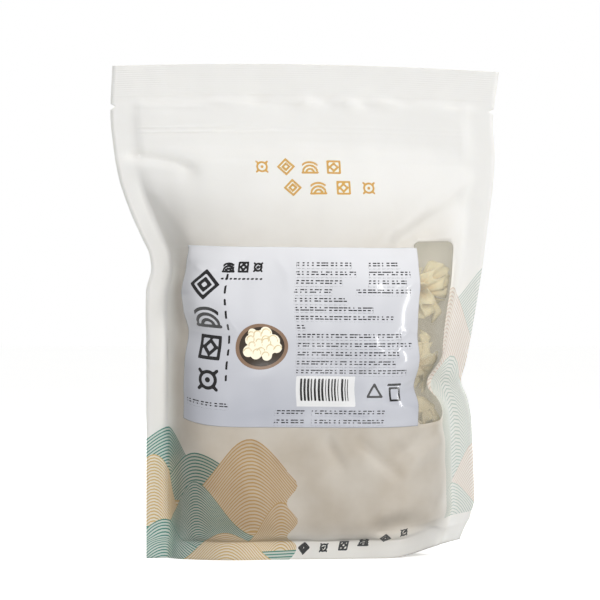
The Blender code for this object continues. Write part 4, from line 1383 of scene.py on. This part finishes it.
def film_limits(x, z):
    """y of the front and back limits for the ears at places inside the pouch. They stay clear
    of the films and of their folds, also where the films are steep at the sides."""
    levels, rises = np.array(RISE).T
    t = np.interp(z, rises, levels)
    front = np.full_like(x, -1.0)
    back = np.full_like(x, 1.0)
    for past in EAR_PROBES:
        place = x + BOX_MIDDLE[0] + past * np.sign(x)
        middle = middle_surface(place, t) - BOX_MIDDLE[1]
        front = np.maximum(front, middle - stand_off(place, t, FRONT) + EAR_CLEARANCE)
        back = np.minimum(back, middle + stand_off(place, t, BACK) - EAR_CLEARANCE)
    return front, back


def ear_sheet(draw):
    """Ruffled lobes that fan out from one root, in a space about two units wide."""
    settings = bpy.context.scene.pouch_contents
    sheet = bmesh.new()
    reach_layer = sheet.verts.layers.float.new("reach")
    for number in range(settings.petals):
        made = bmesh.ops.create_grid(sheet, x_segments=18, y_segments=9, size=1.0)["verts"]
        level = 1 - 2 * (number + 0.5) / settings.petals
        turn = number * LEAF_TURN + draw.uniform(-0.3, 0.3)
        flat = math.sqrt(1 - level * level)
        axis = Vector((flat * math.cos(turn), level * 0.8, flat * math.sin(turn))).normalized()
        side = axis.orthogonal().normalized()
        side = Matrix.Rotation(draw.uniform(0, math.pi), 3, axis) @ side
        lift = axis.cross(side)
        opening = draw.uniform(0.75, 1.15)
        curl = draw.uniform(0.15, 0.5)
        waves = draw.choice((2, 3, 4))
        phase = draw.uniform(0, math.tau)
        length = draw.uniform(0.8, 1.05)
        for vertex in made:
            a = vertex.co.x
            r = (vertex.co.y + 1) / 2
            out = length * (0.1 + 0.9 * r) * (1 - 0.16 * a * a * r)
            ruffle = settings.ruffle * r**1.5 * math.sin(waves * math.pi * a + phase)
            ruffle += 0.35 * settings.ruffle * r**3 * math.sin(waves * 7.3 * a + 2 * phase)
            bend = curl * r * r * (1 - 0.4 * a * a)
            angle = a * opening
            vertex.co = (
                axis * (out * math.cos(angle) * (1 - 0.35 * bend))
                + side * (out * math.sin(angle))
                + lift * (ruffle + bend)
            )
            vertex[reach_layer] = r
    return sheet


class POUCH_OT_ears(bpy.types.Operator):
    """Fill the pouch with dried ears, one in each ear's place in the solids."""

    bl_idname = "pouch.ears"
    bl_label = "Dried ears"

    def execute(self, context):
        material = fungus_material()
        draw = random.Random(31)
        for name in sorted(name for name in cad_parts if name.startswith("ear_")):
            low, high = (np.array(corner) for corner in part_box(name))
            middle = (low + high) / 2
            front, back = film_limits(middle[:1], middle[2:])
            depth = (middle[1] - front[0]) / (back[0] - front[0])
            # An ear at the front or the back keeps to its half of the depth
            near = 0.51 if depth > 0.60 else 0.01
            far = 0.49 if depth < 0.40 else 0.99
            low = low - EAR_GROWTH
            high = high + EAR_GROWTH
            if low[0] > BESIDE_WINDOW:
                high[0] += EAR_WINDOW_REACH
            sheet = ear_sheet(draw)
            points = np.array([vertex.co for vertex in sheet.verts])
            least = points.min(axis=0)
            share = (points - least) / (points.max(axis=0) - least)
            points = low + share * (high - low)
            for _ in range(EAR_DRAWS):
                front, back = film_limits(points[:, 0], points[:, 2])
                tight = back - front < EAR_LEAST_ROOM
                points[tight, 0] = middle[0] + (points[tight, 0] - middle[0]) * EAR_DRAW_SHARE
            points[:, 1] = front + (near + share[:, 1] * (far - near)) * (back - front)
            for vertex, point in zip(sheet.verts, points):
                vertex.co = point
            mesh = bpy.data.meshes.new("dried_" + name)
            sheet.to_mesh(mesh)
            sheet.free()
            flesh = context.scene.pouch_contents.flesh
            finish_piece("dried_" + name, mesh, material, name, flesh, 0.0)
        return {"FINISHED"}


# Softboxes: name, place, target, width and height in metres, watts, whether gloss shows it
LIGHTS = (
    ("key_softbox", (0.30, -0.95, 0.48), (0.0, 0.0, 0.22), (0.6, 0.6), 9.2, False),
    ("glint_softbox", (0.66, -1.25, 0.58), (0.0, 0.0, 0.14), (0.16, 0.24), 0.9, True),
    ("side_strip", (1.10, -0.80, 0.30), (0.0, 0.0, 0.14), (0.08, 0.7), 2.6, True),
    ("back_softbox", (-0.4, 1.3, 0.8), (0.0, 0.0, 0.14), (0.9, 0.9), 17.0, False),
)
FLOOR_RADIUS = 4.0
FLOOR_GLOW = 0.42
# Light from below and above the pouch, where the camera sees plain white
WORLD_LIGHT = (0.30, 0.66)
# What the camera looks at: beside and above the pouch's middle, so that it stands a little
# right of and below the picture's middle
CAMERA_TARGET = (-0.0025, 0.0, 0.1317)


def floor_material():
    """Painted board, nearly white: evenly bright, so that only the pouch's own shade shows."""
    material, tree, shader, place = new_material("floor_painted_board")
    # Clouds 330 mm across
    grain = add(tree, "TexNoise", {"Vector": place, "Scale": 3.0})
    pale = bpy.context.scene.pouch_stage.floor
    ends = {0: grain, 6: pale, 7: linear("#f7f7f6")}
    fill(tree, shader, {
        "Base Color": add(tree, "Mix", ends, 2, data_type="RGBA"),
        "Roughness": 0.8,
        "Emission Color": (1, 1, 1),
        "Emission Strength": FLOOR_GLOW,
    })
    return material


def studio_world():
    """White where the camera sees it, otherwise light that grows brighter upwards."""
    world = bpy.data.worlds.new("studio")
    world.use_nodes = True
    tree = world.node_tree
    tree.nodes.clear()
    toward = add(tree, "TexCoord", out="Generated")
    up = add(tree, "SeparateXYZ", {"Vector": toward}, "Z")
    low, high = WORLD_LIGHT
    spread = {"Value": up, "From Min": -0.8, "From Max": 0.8, "To Min": low, "To Max": high}
    strengths = (add(tree, "MapRange", spread), 1.0)
    around, behind = (
        add(tree, "Background", {"Color": (1, 1, 1), "Strength": strength})
        for strength in strengths
    )
    seen = add(tree, "LightPath", out="Is Camera Ray")
    either = add(tree, "MixShader", {0: seen, 1: around, 2: behind})
    add(tree, "OutputWorld", {"Surface": either})
    return world


class POUCH_OT_stage(bpy.types.Operator):
    """Set the plain pale floor, the soft studio light and the camera."""

    bl_idname = "pouch.stage"
    bl_label = "Stage"

    def execute(self, context):
        settings = context.scene.pouch_stage
        scene = context.scene
        scene.view_settings.view_transform = "Standard"
        scene.world = studio_world()
        sheet = bmesh.new()
        bmesh.ops.create_circle(sheet, cap_ends=True, segments=96, radius=FLOOR_RADIUS)
        mesh = bpy.data.meshes.new("floor")
        sheet.to_mesh(mesh)
        sheet.free()
        mesh.materials.append(floor_material())
        floor = bpy.data.objects.new("floor", mesh)
        floor.visible_diffuse = False
        scene.collection.objects.link(floor)
        for name, place, target, size, energy, mirrored in LIGHTS:
            light = bpy.data.lights.new(name, "AREA")
            light.shape = "RECTANGLE"
            light.size, light.size_y = size
            light.energy = energy
            made = bpy.data.objects.new(name, light)
            made.location = place
            aim = Vector(target) - Vector(place)
            made.rotation_euler = aim.to_track_quat("-Z", "Y").to_euler()
            made.visible_glossy = mirrored
            scene.collection.objects.link(made)
        lens = bpy.data.cameras.new("camera")
        lens.sensor_width = 36.0
        lens.lens = settings.lens
        camera = bpy.data.objects.new("camera", lens)
        back_off = Vector((0, -math.cos(settings.elevation), math.sin(settings.elevation)))
        camera.location = Vector(CAMERA_TARGET) + back_off * settings.distance
        camera.rotation_euler = (math.pi / 2 - settings.elevation, 0.0, 0.0)
        scene.collection.objects.link(camera)
        scene.camera = camera
        return {"FINISHED"}


class POUCH_PT_sidebar(bpy.types.Panel):
    """Lists the pouch's settings and the steps that make it."""

    bl_idname = "POUCH_PT_sidebar"
    bl_label = "Dried Fungus Pouch"
    bl_space_type = "VIEW_3D"
    bl_region_type = "UI"
    bl_category = "Pouch"

    def draw(self, context):
        for name in ("pouch_film", "pouch_label", "pouch_contents", "pouch_stage"):
            box = self.layout.box()
            settings = getattr(context.scene, name)
            for prop in settings.bl_rna.properties:
                if prop.identifier not in ("rna_type", "name"):
                    box.prop(settings, prop.identifier)
        for operator in OPERATORS:
            self.layout.operator(operator.bl_idname)


OPERATORS = (
    POUCH_OT_front_film,
    POUCH_OT_back_film,
    POUCH_OT_bottom_gusset,
    POUCH_OT_window_pane,
    POUCH_OT_label,
    POUCH_OT_zipper,
    POUCH_OT_ears,
    POUCH_OT_stage,
)
SETTINGS = {
    "pouch_film": PouchFilmSettings,
    "pouch_label": PouchLabelSettings,
    "pouch_contents": PouchContentsSettings,
    "pouch_stage": PouchStageSettings,
}


def register():
    for settings in SETTINGS.values():
        bpy.utils.register_class(settings)
    for name, settings in SETTINGS.items():
        setattr(bpy.types.Scene, name, PointerProperty(type=settings))
    for operator in OPERATORS:
        bpy.utils.register_class(operator)
    bpy.utils.register_class(POUCH_PT_sidebar)


def unregister():
    bpy.utils.unregister_class(POUCH_PT_sidebar)
    for operator in reversed(OPERATORS):
        bpy.utils.unregister_class(operator)
    for name in SETTINGS:
        delattr(bpy.types.Scene, name)
    for settings in reversed(SETTINGS.values()):
        bpy.utils.unregister_class(settings)


def main():
    """Make the whole pouch."""
    register()
    for operator in OPERATORS:
        getattr(bpy.ops.pouch, operator.bl_idname.split(".")[1])()
    bpy.context.view_layer.update()


if __name__ == "__main__":
    main()
